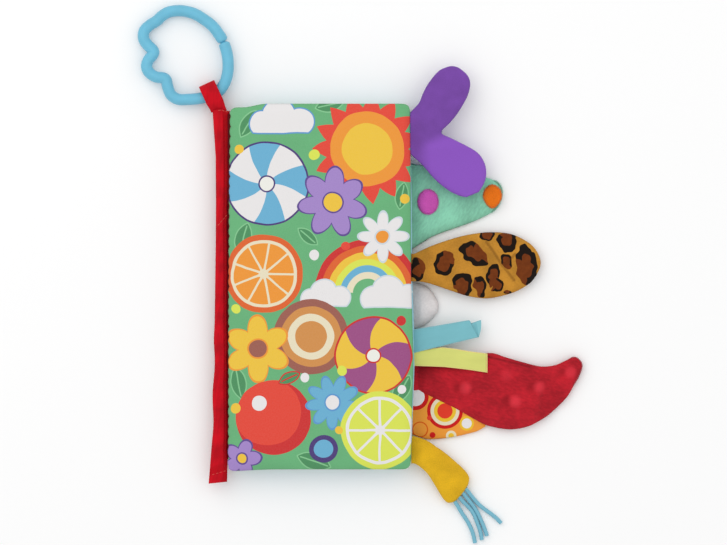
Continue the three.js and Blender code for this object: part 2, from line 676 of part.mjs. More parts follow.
// Strings: routes in millimetres from the yellow tail's end to their cut ends.
const string_routes = [
  [[86.2, -137.9, 3.4], [88.6, -141.8, 2.6], [91.4, -146.4, 1.3], [94.2, -150.6, 1.2], [96.6, -155.2, 1.2],
    [98.2, -159.6, 1.2], [99.4, -165, 1.2]],
  [[88.9, -135, 3.4], [92, -138.6, 2.6], [95.6, -142.2, 1.3], [98.6, -146.4, 1.2], [100.6, -151.4, 1.2],
    [102.6, -157, 1.2], [103.8, -163, 1.2]],
  [[91.3, -132.4, 3.4], [94.4, -136.2, 2.6], [97.9, -140.6, 1.3], [101, -145.6, 1.2], [103.4, -150.8, 1.2],
    [105.6, -156, 1.2], [107, -160.4, 1.2]],
  [[93.1, -129.8, 3.4], [96, -133.4, 2.6], [99.4, -137.6, 1.3], [103.2, -141.4, 1.2], [108, -145, 1.2],
    [112.4, -148.4, 1.2], [116.2, -152.2, 1.2]],
];
const string_sides = 8;
const string_steps = 7;

string_routes.forEach((route, index) => {
  const section = new THREE.Shape();
  section.absarc(0, 0, string_diameter / 2, 0, Math.PI * 2, false);
  const path = new THREE.CatmullRomCurve3(route.map((point) => new THREE.Vector3(...point)));
  const geometry = new THREE.ExtrudeGeometry(new THREE.Shape(section.getPoints(string_sides).slice(0, -1)), {
    steps: string_steps,
    bevelEnabled: false,
    extrudePath: path,
  });
  addPiece(`yellow_tail_string_${index + 1}`, geometry, sky_cloth);
});

export default book;
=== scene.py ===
"""A crinkle cloth book with tails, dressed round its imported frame.

Laid out as an add-on: each operator makes one piece or a group of like pieces,
and main() makes them all. Everything is in metres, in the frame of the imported
part: x from the spine to the open edge, y up the page, z out of the front cover.
Tables and sums of sizes are in millimetres, and MM turns them into metres.
"""

import functools
import json
import math
import random

import bmesh
import bpy
import numpy as np
from mathutils import Matrix, Vector, noise

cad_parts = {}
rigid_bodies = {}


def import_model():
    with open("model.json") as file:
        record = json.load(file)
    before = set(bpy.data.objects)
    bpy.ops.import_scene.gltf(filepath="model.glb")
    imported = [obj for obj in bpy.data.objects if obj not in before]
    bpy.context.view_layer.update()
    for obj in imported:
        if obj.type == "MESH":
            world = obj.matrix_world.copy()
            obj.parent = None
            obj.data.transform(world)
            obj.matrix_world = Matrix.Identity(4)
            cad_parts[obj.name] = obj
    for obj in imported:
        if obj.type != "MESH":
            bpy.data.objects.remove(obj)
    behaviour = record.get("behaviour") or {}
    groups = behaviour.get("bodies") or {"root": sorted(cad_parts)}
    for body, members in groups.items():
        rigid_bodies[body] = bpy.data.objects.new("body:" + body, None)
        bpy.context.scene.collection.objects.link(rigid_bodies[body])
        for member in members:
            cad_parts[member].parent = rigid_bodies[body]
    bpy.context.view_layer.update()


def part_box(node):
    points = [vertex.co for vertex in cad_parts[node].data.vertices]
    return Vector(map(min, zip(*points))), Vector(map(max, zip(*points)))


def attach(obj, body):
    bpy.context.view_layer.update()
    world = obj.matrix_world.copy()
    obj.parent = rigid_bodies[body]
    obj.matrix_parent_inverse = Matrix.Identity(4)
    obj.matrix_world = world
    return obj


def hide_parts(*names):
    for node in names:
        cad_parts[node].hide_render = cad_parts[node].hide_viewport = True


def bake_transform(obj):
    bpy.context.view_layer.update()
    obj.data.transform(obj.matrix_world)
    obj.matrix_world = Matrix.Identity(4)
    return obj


bl_info = {
    "name": "Crinkle cloth book",
    "version": (1, 0, 0),
    "blender": (4, 5, 0),
    "location": "3D View > Sidebar > Cloth book",
    "description": "Padded leaves, tails, ribbons and ring of a baby's cloth book",
    "category": "Object",
}

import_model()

MM = 0.001
PLAN = "cloth_plan"
PLAN_MM = 100

# Bodies, and the sizes that several pieces share. A leaf's Z is its mid height, a
# tail's root stands off its leaf by ROOT_GAP, and SEAM_HALF is half a sewn edge.
SPINE, FRONT, BACK = "spine_and_middle_leaf", "front_cover", "back_cover"
LEAF_HEIGHT, LEAF_THICKNESS = 234, 7
COVER_EDGE, MIDDLE_EDGE = 58, 60
BACK_Z, MIDDLE_Z, FRONT_Z = 3.0, 10.3, 17.6
HINGE_X = -58.9
ROOT_GAP, SEAM_HALF = 0.35, 0.65
TABLE_LIFT = 0.06
MERGE = 1e-7


def linear(colour, share=1, more=0):
    """A share of a colour seen on screen, as the shader's scene-linear colour."""
    seen = [min(1, c * share + more) for c in colour[:3]]
    return (*[c / 12.92 if c <= 0.04045 else ((c + 0.055) / 1.055) ** 2.4 for c in seen], 1.0)


def smooth_step(share):
    share = min(1, max(0, share))
    return share * share * (3 - 2 * share)


def bell(x):
    """1 at 0, falling to nothing on both sides."""
    return np.exp(-(x * x))


def cos_sin(degrees):
    """How far a heading goes to the right and up."""
    return math.cos(math.radians(degrees)), math.sin(math.radians(degrees))


# Sizes and colours that a user would change


def length(name, description, default):
    return bpy.props.FloatProperty(
        name=name, description=description, default=default,
        min=0, max=0.05, unit="LENGTH", precision=5,
    )


def colour(name, description, default):
    return bpy.props.FloatVectorProperty(
        name=name, description=description, default=default,
        min=0, max=1, size=3, subtype="COLOR_GAMMA",
    )


class BookSizes(bpy.types.PropertyGroup):
    """Sizes of the sewing, the cloth and the pile."""

    cloth: length("Cloth", "Thickness of a leaf's cloth", 0.0005)
    tape: length("Tape", "Thickness of the binding tape", 0.0008)
    thread: length("Thread", "Radius of the sewing thread", 0.00022)
    stitch: length("Stitch", "Length of one stitch", 0.0021)
    stitch_pitch: length("Stitch pitch", "From one stitch to the next", 0.0033)
    puff_cap: length("Puff", "How far filling may push a tail's cloth", 0.0016)
    leaf_cap: length("Leaf puff", "How far wadding may push a leaf's cloth", 0.0012)
    short_pile: length("Short pile", "Length of velour and minky pile", 0.0009)
    long_pile: length("Long pile", "Length of fleece and plush pile", 0.0015)
    string: length("String", "Diameter of the tail's strings", 0.0025)


class BookColours(bpy.types.PropertyGroup):
    """Colours of the cloths and the ring, as they look."""

    tape: colour("Tape", "Spine binding and strap", (0.78, 0.03, 0.11))
    thread: colour("Thread", "Sewing thread on the tape", (0.88, 0.36, 0.32))
    page: colour("Page", "Inner pages", (0.62, 0.82, 0.88))
    ground: colour("Ground", "Ground of the cover print", (0.38, 0.69, 0.46))
    ring: colour("Ring", "Split ring", (0.44, 0.75, 0.86))
    purple: colour("Purple", "Felt tail", (0.47, 0.29, 0.64))
    green: colour("Green", "Fleece tail", (0.55, 0.82, 0.7))
    magenta: colour("Magenta", "Pile spot near the root", (0.8, 0.34, 0.7))
    orange: colour("Orange", "Pile spot near the tip", (0.94, 0.46, 0.1))
    leopard: colour("Leopard", "Ground of the leopard plush", (0.76, 0.53, 0.19))
    white: colour("White", "Round plush tail", (0.9, 0.88, 0.88))
    blue: colour("Blue", "Blue ribbon", (0.48, 0.74, 0.78))
    lime: colour("Lime", "Lime ribbon", (0.85, 0.86, 0.47))
    red: colour("Red", "Dimpled plush tail", (0.74, 0.13, 0.18))
    amber: colour("Amber", "Ground of the ring and dot print", (0.94, 0.61, 0.22))
    yellow: colour("Yellow", "Velour tail", (0.88, 0.69, 0.13))
    string: colour("String", "Strings of the yellow tail", (0.5, 0.75, 0.83))


def chosen(context):
    """The sizes and the colours that the user has set."""
    return context.scene.book_sizes, context.scene.book_colours


# Shader building


class Socket:
    """A shader value that can stand in a sum."""

    def __init__(self, nodes, socket):
        self.nodes, self.socket = nodes, socket

    def maths(self, operation, *values):
        return self.nodes.node("Math", values, operation=operation)

    def __add__(self, other):
        return self.maths("ADD", self, other)

    def __radd__(self, other):
        return self.maths("ADD", other, self)

    def __sub__(self, other):
        return self.maths("SUBTRACT", self, other)

    def __rsub__(self, other):
        return self.maths("SUBTRACT", other, self)

    def __mul__(self, other):
        return self.maths("MULTIPLY", self, other)

    def __rmul__(self, other):
        return self.maths("MULTIPLY", other, self)

    def __truediv__(self, other):
        return self.maths("DIVIDE", self, other)

    def __pow__(self, other):
        return self.maths("POWER", self, other)

    def __abs__(self):
        return self.maths("ABSOLUTE", self)

    def __lt__(self, other):
        return self.maths("LESS_THAN", self, other)

    def __gt__(self, other):
        return self.maths("GREATER_THAN", self, other)

    def least(self, other):
        return self.maths("MINIMUM", self, other)

    def most(self, other):
        return self.maths("MAXIMUM", self, other)

    def sine(self):
        return self.maths("SINE", self)

    def cosine(self):
        return self.maths("COSINE", self)

    def angle(self, right):
        """The heading of this much up and so much to the right."""
        return self.maths("ARCTAN2", self, right)

    def zigzag(self, size):
        return self.maths("PINGPONG", self, size)

    def ramp(self, low, high):
        """0 below low, 1 above high, smooth between."""
        values = {"Value": self, "From Min": low, "From Max": high}
        return self.nodes.node("MapRange", values, interpolation_type="SMOOTHSTEP")


class Nodes:
    """The node tree of a material or a world, being made."""

    def __init__(self, owner):
        owner.use_nodes = True
        self.tree = owner.node_tree
        self.tree.nodes.clear()

    def node(self, kind, values=(), output=0, **settings):
        """Adds a node: its settings first, then its sockets' values or links."""
        made = self.tree.nodes.new("ShaderNode" + kind)
        for key, value in settings.items():
            if key == "stops":
                self.set_stops(made.color_ramp, value)
            else:
                setattr(made, key, value)
        for key, value in values.items() if isinstance(values, dict) else enumerate(values):
            if isinstance(value, Socket):
                self.tree.links.new(value.socket, made.inputs[key])
            else:
                made.inputs[key].default_value = value
        return Socket(self, made.outputs[output]) if made.outputs else None

    @staticmethod
    def set_stops(ramp, stops):
        ramp.interpolation = "CONSTANT"
        while len(ramp.elements) < len(stops):
            ramp.elements.new(1.0)
        for element, (position, value) in zip(ramp.elements, stops):
            element.position = position
            element.color = value


class Finish(Nodes):
    """A material being made round one Principled shader. Its place is in
    millimetres, on the flat cloth or, where flat is off, in space."""

    def __init__(self, name, flat=True, **constants):
        self.material = bpy.data.materials.new(name + "_finish")
        super().__init__(self.material)
        constants = {"Specular_IOR_Level": 0.22, **constants}
        shader = self.node("BsdfPrincipled", {
            key.replace("_", " "): value for key, value in constants.items()})
        self.node("OutputMaterial", {"Surface": shader})
        self.inputs = shader.socket.node.inputs
        if flat:
            unit, scale = self.node("UVMap", uv_map=PLAN), PLAN_MM
        else:
            unit, scale = self.node("TexCoord", output=3), 1 / MM
        self.place = self.vector("MULTIPLY", unit, (scale,) * 3)
        self.x, self.y = self.split(self.place)

    def vector(self, operation, a, b):
        return self.node("VectorMath", {0: a, 1: b}, operation=operation)

    def split(self, place):
        return [self.node("SeparateXYZ", {0: place}, i) for i in (0, 1)]

    def mix(self, share, a, b):
        return self.node("Mix", {0: share, 6: a, 7: b}, output=2, data_type="RGBA")

    def noise(self, scale, detail=2.0, long=1, lean=0.0):
        """Noise from 0 to 1 of grains about 1/scale mm wide, long along a lean."""
        moved = self.place
        if long != 1:
            turned = {"Vector": moved, "Rotation": (0, 0, math.radians(lean)),
                      "Scale": (long, 1, 1)}
            moved = self.node("Mapping", turned, vector_type="TEXTURE")
        return self.node("TexNoise", {"Vector": moved, "Scale": scale, "Detail": detail})

    def bent(self, size, scale, detail):
        """The place, carried aside by noise up to about half a size."""
        values = {"Vector": self.place, "Scale": scale, "Detail": detail}
        drift = self.vector("SUBTRACT", self.node("TexNoise", values, output=1), (0.5,) * 3)
        return self.vector("ADD", self.place, self.vector("MULTIPLY", drift, (size,) * 3))

    def cells(self, scale, output=0):
        return self.node("TexVoronoi", {"Vector": self.place, "Scale": scale}, output)

    def from_line(self, start, end):
        """Distance in millimetres from a straight line between two points."""
        ax, ay, dx, dy = *start, end[0] - start[0], end[1] - start[1]
        right, up = self.x - ax, self.y - ay
        along = ((right * dx + up * dy) / (dx * dx + dy * dy)).most(0.0).least(1.0)
        right, up = right - along * dx, up - along * dy
        return (right * right + up * up) ** 0.5

    def done(self, seen, height=None, strength=0.6, **sockets):
        """The material, fed its colour and the normals of a height in millimetres."""
        if height is not None:
            values = {"Strength": strength, "Distance": MM, "Height": height}
            sockets["Normal"] = self.node("Bump", values)
        for key, value in {"Base_Color": seen, **sockets}.items():
            self.tree.links.new(value.socket, self.inputs[key.replace("_", " ")])
        return self.material


def shades(base, dark, light):
    """A darker and a lighter linear colour round one seen colour."""
    return linear(base, dark), linear(base, light)


def ripple(place, pitch):
    """A sine wave of one pitch in millimetres."""
    return (place * (2 * math.pi / pitch)).sine()


def knit_height(finish, pitch, depth, grain, fuzz):
    """Height of a plain weave of one thread pitch, with fuzz over it."""
    weave = ripple(finish.x, pitch) * ripple(finish.y, pitch) * depth
    return weave + finish.noise(grain, 3) * fuzz


def make_tape_finish(name, base, folded=False):
    """Brushed woven tape: soft streaks along its length over a fine twill. A folded one gets
    painted shade: darker past the step of its hem and in a band above the hem at its end."""
    finish = Finish(name, Roughness=0.7, Specular_IOR_Level=0.12)
    streaks = finish.noise(0.5, 3, long=7, lean=84)
    share = (streaks * 0.55 + finish.noise(0.09) * 0.65 - 0.1).ramp(0.22, 0.78)
    seen = finish.mix(share, *shades(base, 0.86, 1.1))
    if folded:
        # Painted shade: the strip past the hem's step and a band above the hem at the end are
        # darkened as if they lay in shade.
        past = finish.x - BINDING_RIGHT + step_across(finish.y)
        above = finish.y - hem_y(finish.x)
        over_hem = above.ramp(0, 0.8) * (1 - above.ramp(4, 6.5))
        shade = (past.ramp(-0.2, 0.5) * 0.8).most(over_hem * 0.4)
        dark = linear((base[0] * 0.88, base[1] * 0.2, base[2] * 0.55))
        seen = finish.mix(shade, seen, dark)
    twill = ripple(finish.x + finish.y, 0.9) * 0.02
    return finish.done(seen, twill + finish.noise(2.6, 3) * 0.16)


def make_thread_finish(name, base):
    finish = Finish(name, flat=False, Roughness=0.55)
    twist = ((finish.x + finish.y * 1.3) * 18).sine() * 0.5 + 0.5
    return finish.done(finish.mix(twist, *shades(base, 0.8, 1.1)), twist * 0.06)


def make_page_finish(base):
    """Brushed knit page with a tonal pin dot."""
    finish = Finish("page_cloth", Roughness=0.78, Sheen_Weight=0.03)
    ground = finish.mix(finish.noise(0.08, 3), *shades(base, 0.95, 1.05))
    dots = (finish.cells(0.12) < 0.17) * 0.55
    seen = finish.mix(dots, ground, linear((0.93, 0.97, 0.98)))
    return finish.done(seen, knit_height(finish, 0.7, 0.03, 1.6, 0.12))


def begin_pile(name, base, dark, light, scale, long=1, lean=0.0, fine=0.5):
    """Pile cloth's finish, its colour and the height of its tufts."""
    finish = Finish(name, Roughness=0.95, Specular_IOR_Level=0.1, Sheen_Weight=0.08)
    tufts = finish.noise(scale, 4, long, lean)
    patches = finish.noise(0.07, 2, max(1, long * 0.6), lean)
    share = (tufts * fine + patches * (1.15 - fine) - 0.08).ramp(0.24, 0.76)
    return finish, finish.mix(share, *shades(base, dark, light)), tufts


def make_pile_finish(name, base, dark, light, scale, depth=0.4, **nap):
    """Pile cloth: tufts that catch the light, brushed along the nap."""
    finish, seen, tufts = begin_pile(name, base, dark, light, scale, **nap)
    return finish.done(seen, tufts * depth + finish.noise(scale * 3, 3) * 0.12)


def make_fuzz_finish(name, base):
    """Loose hairs at the edge of a pile cloth, with painted light: paler than the cloth, as if
    light shines through them.
    """
    finish = Finish(name, Roughness=1.0, Specular_IOR_Level=0.0)
    # Painted light: the hairs' colour is raised toward white.
    pale = [c * 0.7 + 0.3 for c in base]
    return finish.done(finish.mix(finish.noise(0.8), *shades(pale, 0.96, 1.06)))


# A point on the felt tail's fold, where the painted light changes from the shaded upper lobe
# to the lit lower lobe, and the fold's slope.
FELT_LIGHT_LINE = 77, 96, 0.4


def make_felt_finish(base):
    """Brushed felt with painted light: the lower lobe, below its fold, is a lighter copy of
    the felt, as if it faces the light.
    """
    finish, seen, tufts = begin_pile("purple_felt", base, 0.93, 1.07, 1.7)
    # Painted light: a lighter copy of the felt for the lower lobe, as if it faces the light.
    painted_lit_base = [min(1, c * 1.19) for c in base]
    lower = finish.mix(finish.noise(1.7, 4), *shades(painted_lit_base, 0.93, 1.06))
    x, y, slope = FELT_LIGHT_LINE
    below = (y + (finish.x - x) * slope - finish.y).ramp(-4, 5)
    seen = finish.mix(below * finish.x.ramp(60, 72), seen, lower)
    return finish.done(seen, tufts * 0.25 + finish.noise(4) * 0.1)


# Crowns of the red plush, as x, y and share of the full height, and its seam. The red finish
# paints a highlight on each crown, shade beside it and shade along the seam.
RED_BUMPS = [(93.6, -65, 1), (124.6, -73.8, 1), (140.2, -65.2, 0.9), (160, -55.6, 0.8),
             (119, -57.3, 0.4)]
RED_SEAM = (99.5, -43.6), (134, -51.6)


def make_red_finish(base):
    """Short dimpled plush with painted light: a painted highlight on each dimple's crown,
    painted shade beside it and painted shade along the seam's crease.
    """
    finish, seen, tufts = begin_pile("red_plush", base, 0.82, 1.09, 0.7, long=2.2, lean=-14)
    art = Print(finish, seen)
    for x, y, tall in RED_BUMPS:
        # Painted shade beside each crown and a painted highlight on the crown itself.
        beside, crown = art.far(x - 5.4, y + 0.4), art.far(x + 0.4, y)
        art.lay((1 - beside.ramp(0.6, 5.2)) * (0.5 * tall), linear(base, 0.68))
        art.lay((1 - crown.ramp(1.2, 5.4)) * (0.75 * tall), linear(base, 1.1, 0.08))
    seam = finish.from_line(*RED_SEAM)
    # Painted shade along the seam's crease.
    art.lay((1 - seam.ramp(0.1, 1.1)) * 0.5, linear(base, 0.6))
    height = tufts * 0.35 + finish.noise(2.2, 3) * 0.12 + seam.ramp(0, 1.2) * 0.5
    return finish.done(art.seen, height)


def make_ring_finish(base):
    """Moulded glossy plastic, slightly cloudy."""
    finish = Finish("ring_plastic", flat=False, Specular_IOR_Level=0.32,
                    Subsurface_Weight=0.12, Subsurface_Radius=(0.002, 0.003, 0.004))
    seen = finish.mix(finish.noise(0.09), *shades(base, 0.93, 1.04))
    return finish.done(seen, finish.noise(0.25) * 0.25, strength=0.35,
                       Roughness=finish.noise(0.4, 3) * 0.16 + 0.3)


def make_ribbon_finish(name, base, width, fold, selvage):
    """Woven ribbon, laid out flat: ribs across it and a firmer woven edge."""
    finish = Finish(name, Roughness=0.5)
    ribs = ripple(finish.y, 0.7)
    edge = abs(finish.x - width / 2) > width / 2 - 0.55
    edge = edge.most(abs(finish.y - (fold - 0.9)) < 1.1)
    cloud = finish.noise(0.12, 3, long=3, lean=90)
    seen = finish.mix(cloud, *shades(base, 0.93, 1.05))
    seen = finish.mix(ribs * 0.06 + 0.06, seen, linear(base, 0.8))
    seen = finish.mix(edge * 0.7, seen, linear(selvage))
    return finish.done(seen, ribs * 0.035 + edge * 0.12 + finish.noise(2.2) * 0.06)


def make_string_finish(base):
    """Round braid: two sets of strands crossing round the cord."""
    finish = Finish("string_braid", flat=False, Roughness=0.6)
    one = ((finish.x * 1.2 - finish.y) * 4.2).sine()
    other = ((finish.x + finish.y * 1.2) * 4.2).sine()
    braid = one * other * 0.5 + 0.5
    return finish.done(finish.mix(braid, *shades(base, 0.86, 1.08)), braid * 0.12)


# Rosettes of the leopard plush: centre, half width, half height and lean in
# degrees, then the heading of the gap in the dark rim.
ROSETTES = [
    (79.7, 14.5, 6.6, 8.6, -12, 55), (98.6, 21.0, 9.8, 6.0, -38, 60),
    (106.8, 32.4, 4.6, 3.4, 0, 90), (119.9, 29.0, 6.4, 7.4, 0, 92),
    (132.6, 13.4, 6.6, 12.6, 8, 205), (119.6, 16.2, 3.4, 4.6, 15, 250),
    (110.6, 8.4, 4.2, 7.0, -14, 300), (114.4, 1.2, 4.2, 4.4, 20, 150),
    (102.8, 0.6, 3.6, 7.6, 9, 190), (91.8, 1.6, 6.2, 8.0, 12, 215),
    (61.5, 10.6, 4.4, 8.0, 5, 30), (120.4, -3.6, 1.9, 1.6, 0, 90),
]

LEOPARD_CREASES = [
    ((106.6, 28), (116.9, 13.5)), ((116.9, 13.5), (124.4, 4.6)), ((117.2, 13.2), (125, 20.5)),
]


def make_leopard_finish(base):
    """Short plush printed with leopard rosettes, with painted shade along its creases."""
    finish, seen, tufts = begin_pile("leopard_plush", base, 0.86, 1.07, 0.9, fine=0.35)
    art = Print(finish, seen, drift=5.0, scale=0.19, detail=0.6)
    inner = finish.noise(0.14, 1) * 0.4 + 0.37
    browns = linear((0.36, 0.16, 0.06)), linear((0.52, 0.26, 0.1))
    brown = finish.mix(finish.noise(0.3, 3), *browns)
    dark = linear((0.11, 0.08, 0.06))
    for cx, cy, wide, high, lean, gap in ROSETTES:
        right, up = art.x - cx, art.y - cy
        c, s = cos_sin(lean)
        across = right * (c / wide) + up * (s / wide)
        along = up * (c / high) - right * (s / high)
        out = (across * across + along * along) ** 0.5
        c, s = cos_sin(gap)
        facing = (across * c + along * s) / (out + 0.01)
        rim = (out > inner) * (facing < 0.66)
        art.lay(out < 1.0, finish.mix(rim, brown, dark))
    creases = [finish.from_line(*ends) for ends in LEOPARD_CREASES]
    smooth = functools.reduce(Socket.least, creases).ramp(0.1, 1.3)
    # Painted shade: the creases are darkened as if they lay in shade.
    art.lay((1 - smooth) * 0.38, linear((0.36, 0.2, 0.06)))
    return finish.done(art.seen, tufts * 0.3 + smooth * 0.9)


# A cloud's puffs: centre and radius as shares of its size.
CLOUD_PUFFS = [(-1.0, 0, 0.62), (-0.2, 0.42, 0.8), (0.85, 0.1, 0.66), (0.1, -0.15, 0.72)]


class Print:
    """Motifs laid over each other on a ground colour, in millimetres of cloth."""

    def __init__(self, finish, ground, drift=0.0, scale=0.05, detail=2.0):
        self.finish, self.seen = finish, ground
        self.place = finish.bent(drift, scale, detail) if drift else finish.place
        self.x, self.y = finish.split(self.place)

    def lay(self, mask, paint):
        self.seen = self.finish.mix(mask, self.seen, paint)

    def far(self, x, y):
        ends = {0: self.place, 1: (x, y, 0)}
        return self.finish.node("VectorMath", ends, output=1, operation="DISTANCE")

    def heading(self, x, y):
        return (self.y - y).angle(self.x - x)

    def banded(self, share, paints):
        """One of the paints for each equal step of a share from 0 to 1."""
        stops = [(i / len(paints), paint) for i, paint in enumerate(paints)]
        return self.finish.node("ValToRGB", {0: share}, stops=stops)

    def disc(self, x, y, radius, *paints, step=1.5):
        """Discs inside each other, each a step smaller than the last."""
        far = self.far(x, y)
        for i, paint in enumerate(paints):
            self.lay(far < radius - i * step, paint)

    def flower(self, x, y, radius, petals, petal, rim, middle, share=0.5, lean=0.0):
        lobe = abs(((self.heading(x, y) + lean) * (petals / 2)).cosine())
        inside = lobe * (radius * (1 - share)) + radius * share - self.far(x, y)
        self.lay(inside > 0, rim)
        self.lay(inside > 1.3, petal)
        self.disc(x, y, radius * 0.3, rim, middle, step=1)

    def sun(self, x, y, radius, rays, ray, body, middle):
        spread = (self.heading(x, y) * (rays / math.pi)).zigzag(1.0)
        self.lay(self.far(x, y) < spread * (radius * 0.26) + radius * 0.78, ray)
        self.disc(x, y, radius * 0.7, body, middle, step=radius * 0.22)

    def citrus(self, x, y, radius, peel, pith, flesh, segments=9):
        far = self.far(x, y)
        spoke = abs((self.heading(x, y) * (segments / 2)).sine()) * far
        self.disc(x, y, radius, peel, pith, step=radius * 0.14)
        self.lay((far < radius * 0.78) * (spoke > 3.0) * (far > radius * 0.12), flesh)

    def ball(self, x, y, radius, one, other, rim, panels=3, twist=0.06):
        far = self.far(x, y)
        swirl = (self.heading(x, y) * panels + far * twist).sine()
        self.disc(x, y, radius, rim, other, step=1.2)
        self.lay((far < radius - 1.2) * (swirl > 0), one)
        self.disc(x, y, radius * 0.2, rim, linear((0.93, 0.93, 0.9)), step=1.0)

    def leaf(self, x, y, size, heading, paint, vein):
        """Two discs that overlap, with a vein down the middle."""
        c, s = cos_sin(heading)
        off = size * 0.62
        inside = self.far(x - s * off, y + c * off).most(self.far(x + s * off, y - c * off))
        across = abs((self.y - y) * c - (self.x - x) * s)
        self.lay(inside < size, vein)
        self.lay(inside < size - 0.8, paint)
        self.lay((inside < size - 1.6) * (across < 0.45), vein)

    def arcs(self, x, y, inner, outer, paints):
        """Bands of a rainbow above a foot line."""
        far = self.far(x, y)
        bands = self.banded((far - inner) / (outer - inner), paints)
        self.lay((far < outer) * (far > inner) * (self.y > y), bands)

    def cloud(self, x, y, size, paint, rim):
        near = functools.reduce(Socket.least, [
            self.far(x + dx * size, y + dy * size) - share * size
            for dx, dy, share in CLOUD_PUFFS])
        for spread, tint in ((0.9, rim), (0.0, paint)):
            self.lay((near < spread) * (self.y > y - 0.42 * size - spread), tint)

    def berry(self, x, y, radius, skin, shade, shine, leaf):
        far, lit = self.far(x, y), self.far(x - radius * 0.16, y + radius * 0.16)
        self.lay(far < radius, shade)
        self.lay((far < radius) * (lit < radius * 0.9), skin)
        self.disc(x - radius * 0.38, y + radius * 0.4, radius * 0.2, shine)
        self.leaf(x + radius * 0.42, y + radius * 1.06, radius * 0.42, 28, leaf, shade)


PAINTS = {
    name: linear(value)
    for name, value in {
        "deep_green": (0.25, 0.55, 0.34), "lime": (0.85, 0.89, 0.3),
        "vermilion": (0.89, 0.23, 0.14), "orange": (0.93, 0.58, 0.13),
        "vivid": (0.87, 0.36, 0.05), "brown": (0.6, 0.34, 0.28),
        "caramel": (0.82, 0.55, 0.26), "white": (0.91, 0.9, 0.9),
        "indigo": (0.25, 0.16, 0.45), "violet": (0.34, 0.24, 0.55),
        "lilac": (0.63, 0.51, 0.78), "sky": (0.39, 0.68, 0.82),
        "gold": (0.93, 0.76, 0.19), "plum": (0.6, 0.26, 0.5),
        "cream": (0.91, 0.87, 0.75), "red": (0.8, 0.07, 0.07),
        "mist": (0.79, 0.84, 0.87), "azure": (0.33, 0.58, 0.8), "mint": (0.5, 0.77, 0.55),
    }.items()
}


def begin_print(name, base, roughness=0.72, cloud=0.05, light=1.04, drift=0.0):
    """A printed cloth's finish, and its print on a slightly cloudy ground."""
    finish = Finish(name, Roughness=roughness, Sheen_Weight=0.03)
    ground = finish.mix(finish.noise(cloud), *shades(base, 0.95, light))
    return finish, Print(finish, ground, drift)


def finish_printed_cloth(finish, seen):
    """Ink sunk in brushed knit: slight mottle over a fine knit."""
    worn = finish.mix(finish.noise(1.1, 4) * 0.07, seen, linear((0.98, 0.96, 0.95)))
    return finish.done(worn, knit_height(finish, 0.75, 0.03, 1.5, 0.14))


def make_cover_print(base):
    """Cheerful print of suns, flowers, fruit, balls and clouds on green."""
    finish, art = begin_print("cover_print", base, drift=2.4)
    c = PAINTS
    for x, y, size, heading in [
        (-46, 104, 13, 60), (-49, 30, 15, 75), (50, 4, 14, 110), (2, -6, 13, 20),
        (-52, -62, 14, 100), (52, -66, 14, 60), (6, 116, 13, 10), (-4, -112, 15, 160),
        (52, 58, 12, 80), (-8, 32, 11, 140),
    ]:
        art.leaf(x, y, size, heading, c["deep_green"], c["mint"])
    art.sun(30, 88, 34, 15, c["vermilion"], c["orange"], c["gold"])
    art.cloud(-24, 104, 13, c["white"], c["azure"])
    art.ball(-34, 66, 27, c["sky"], c["white"], c["indigo"], panels=4, twist=0.05)
    art.flower(8, 54, 23, 7, c["lilac"], c["violet"], c["gold"], 0.62, 0.3)
    art.citrus(-36, 8, 25, c["vivid"], c["cream"], c["orange"])
    art.arcs(30, -4, 9, 34, [c["cream"], c["sky"], c["lime"], c["gold"], c["vivid"], c["red"]])
    art.flower(40, 32, 17, 8, c["white"], c["mist"], c["orange"], 0.55)
    art.cloud(46, -8, 12, c["white"], c["mist"])
    art.cloud(4, -8, 10, c["white"], c["mist"])
    art.disc(-6, -32, 24, c["brown"], c["caramel"], c["cream"], c["caramel"], step=4.6)
    art.flower(-40, -40, 22, 6, c["gold"], c["orange"], c["brown"], 0.6, 0.5)
    art.ball(34, -44, 25, c["plum"], c["gold"], c["red"], panels=3, twist=0.09)
    art.berry(-30, -84, 24, c["vermilion"], c["red"], c["white"], c["deep_green"])
    art.flower(8, -74, 18, 9, c["sky"], c["azure"], c["white"], 0.6, 0.2)
    art.citrus(38, -92, 25, c["lime"], c["white"], c["lime"], segments=8)
    art.flower(-50, -110, 13, 5, c["lilac"], c["violet"], c["gold"], 0.6)
    art.disc(2, -104, 9, c["indigo"], c["sky"], step=3)
    for x, y, radius, paint in [
        (-4, 84, 3.4, "lime"), (54, 56, 3.2, "gold"), (-52, 88, 3.0, "gold"),
        (-4, 20, 3.2, "white"), (-54, -14, 3.0, "lime"), (14, -54, 3.2, "lime"),
        (52, -22, 3, "red"), (-10, -58, 3, "white"), (16, 26, 2.8, "vermilion"),
        (-54, -78, 3.2, "gold"), (12, -92, 2.6, "gold"), (52, -66, 2.8, "white"),
    ]:
        art.disc(x, y, radius, c[paint])
    return finish_printed_cloth(finish, art.seen)


def make_back_print(base):
    """The same green with scattered dots in the print's other colours."""
    finish, art = begin_print("back_print", base)
    c, scale = PAINTS, 0.062
    near = finish.cells(scale)
    pick = finish.node("SeparateColor", {0: finish.cells(scale, output=1)})
    dots = [c[name] for name in ("gold", "white", "vermilion", "sky", "lilac", "lime")]
    art.lay(near < 0.27, c["deep_green"])
    art.lay(near < 0.25, art.banded(pick, dots))
    art.lay(near < 0.1, c["cream"])
    return finish_printed_cloth(finish, art.seen)


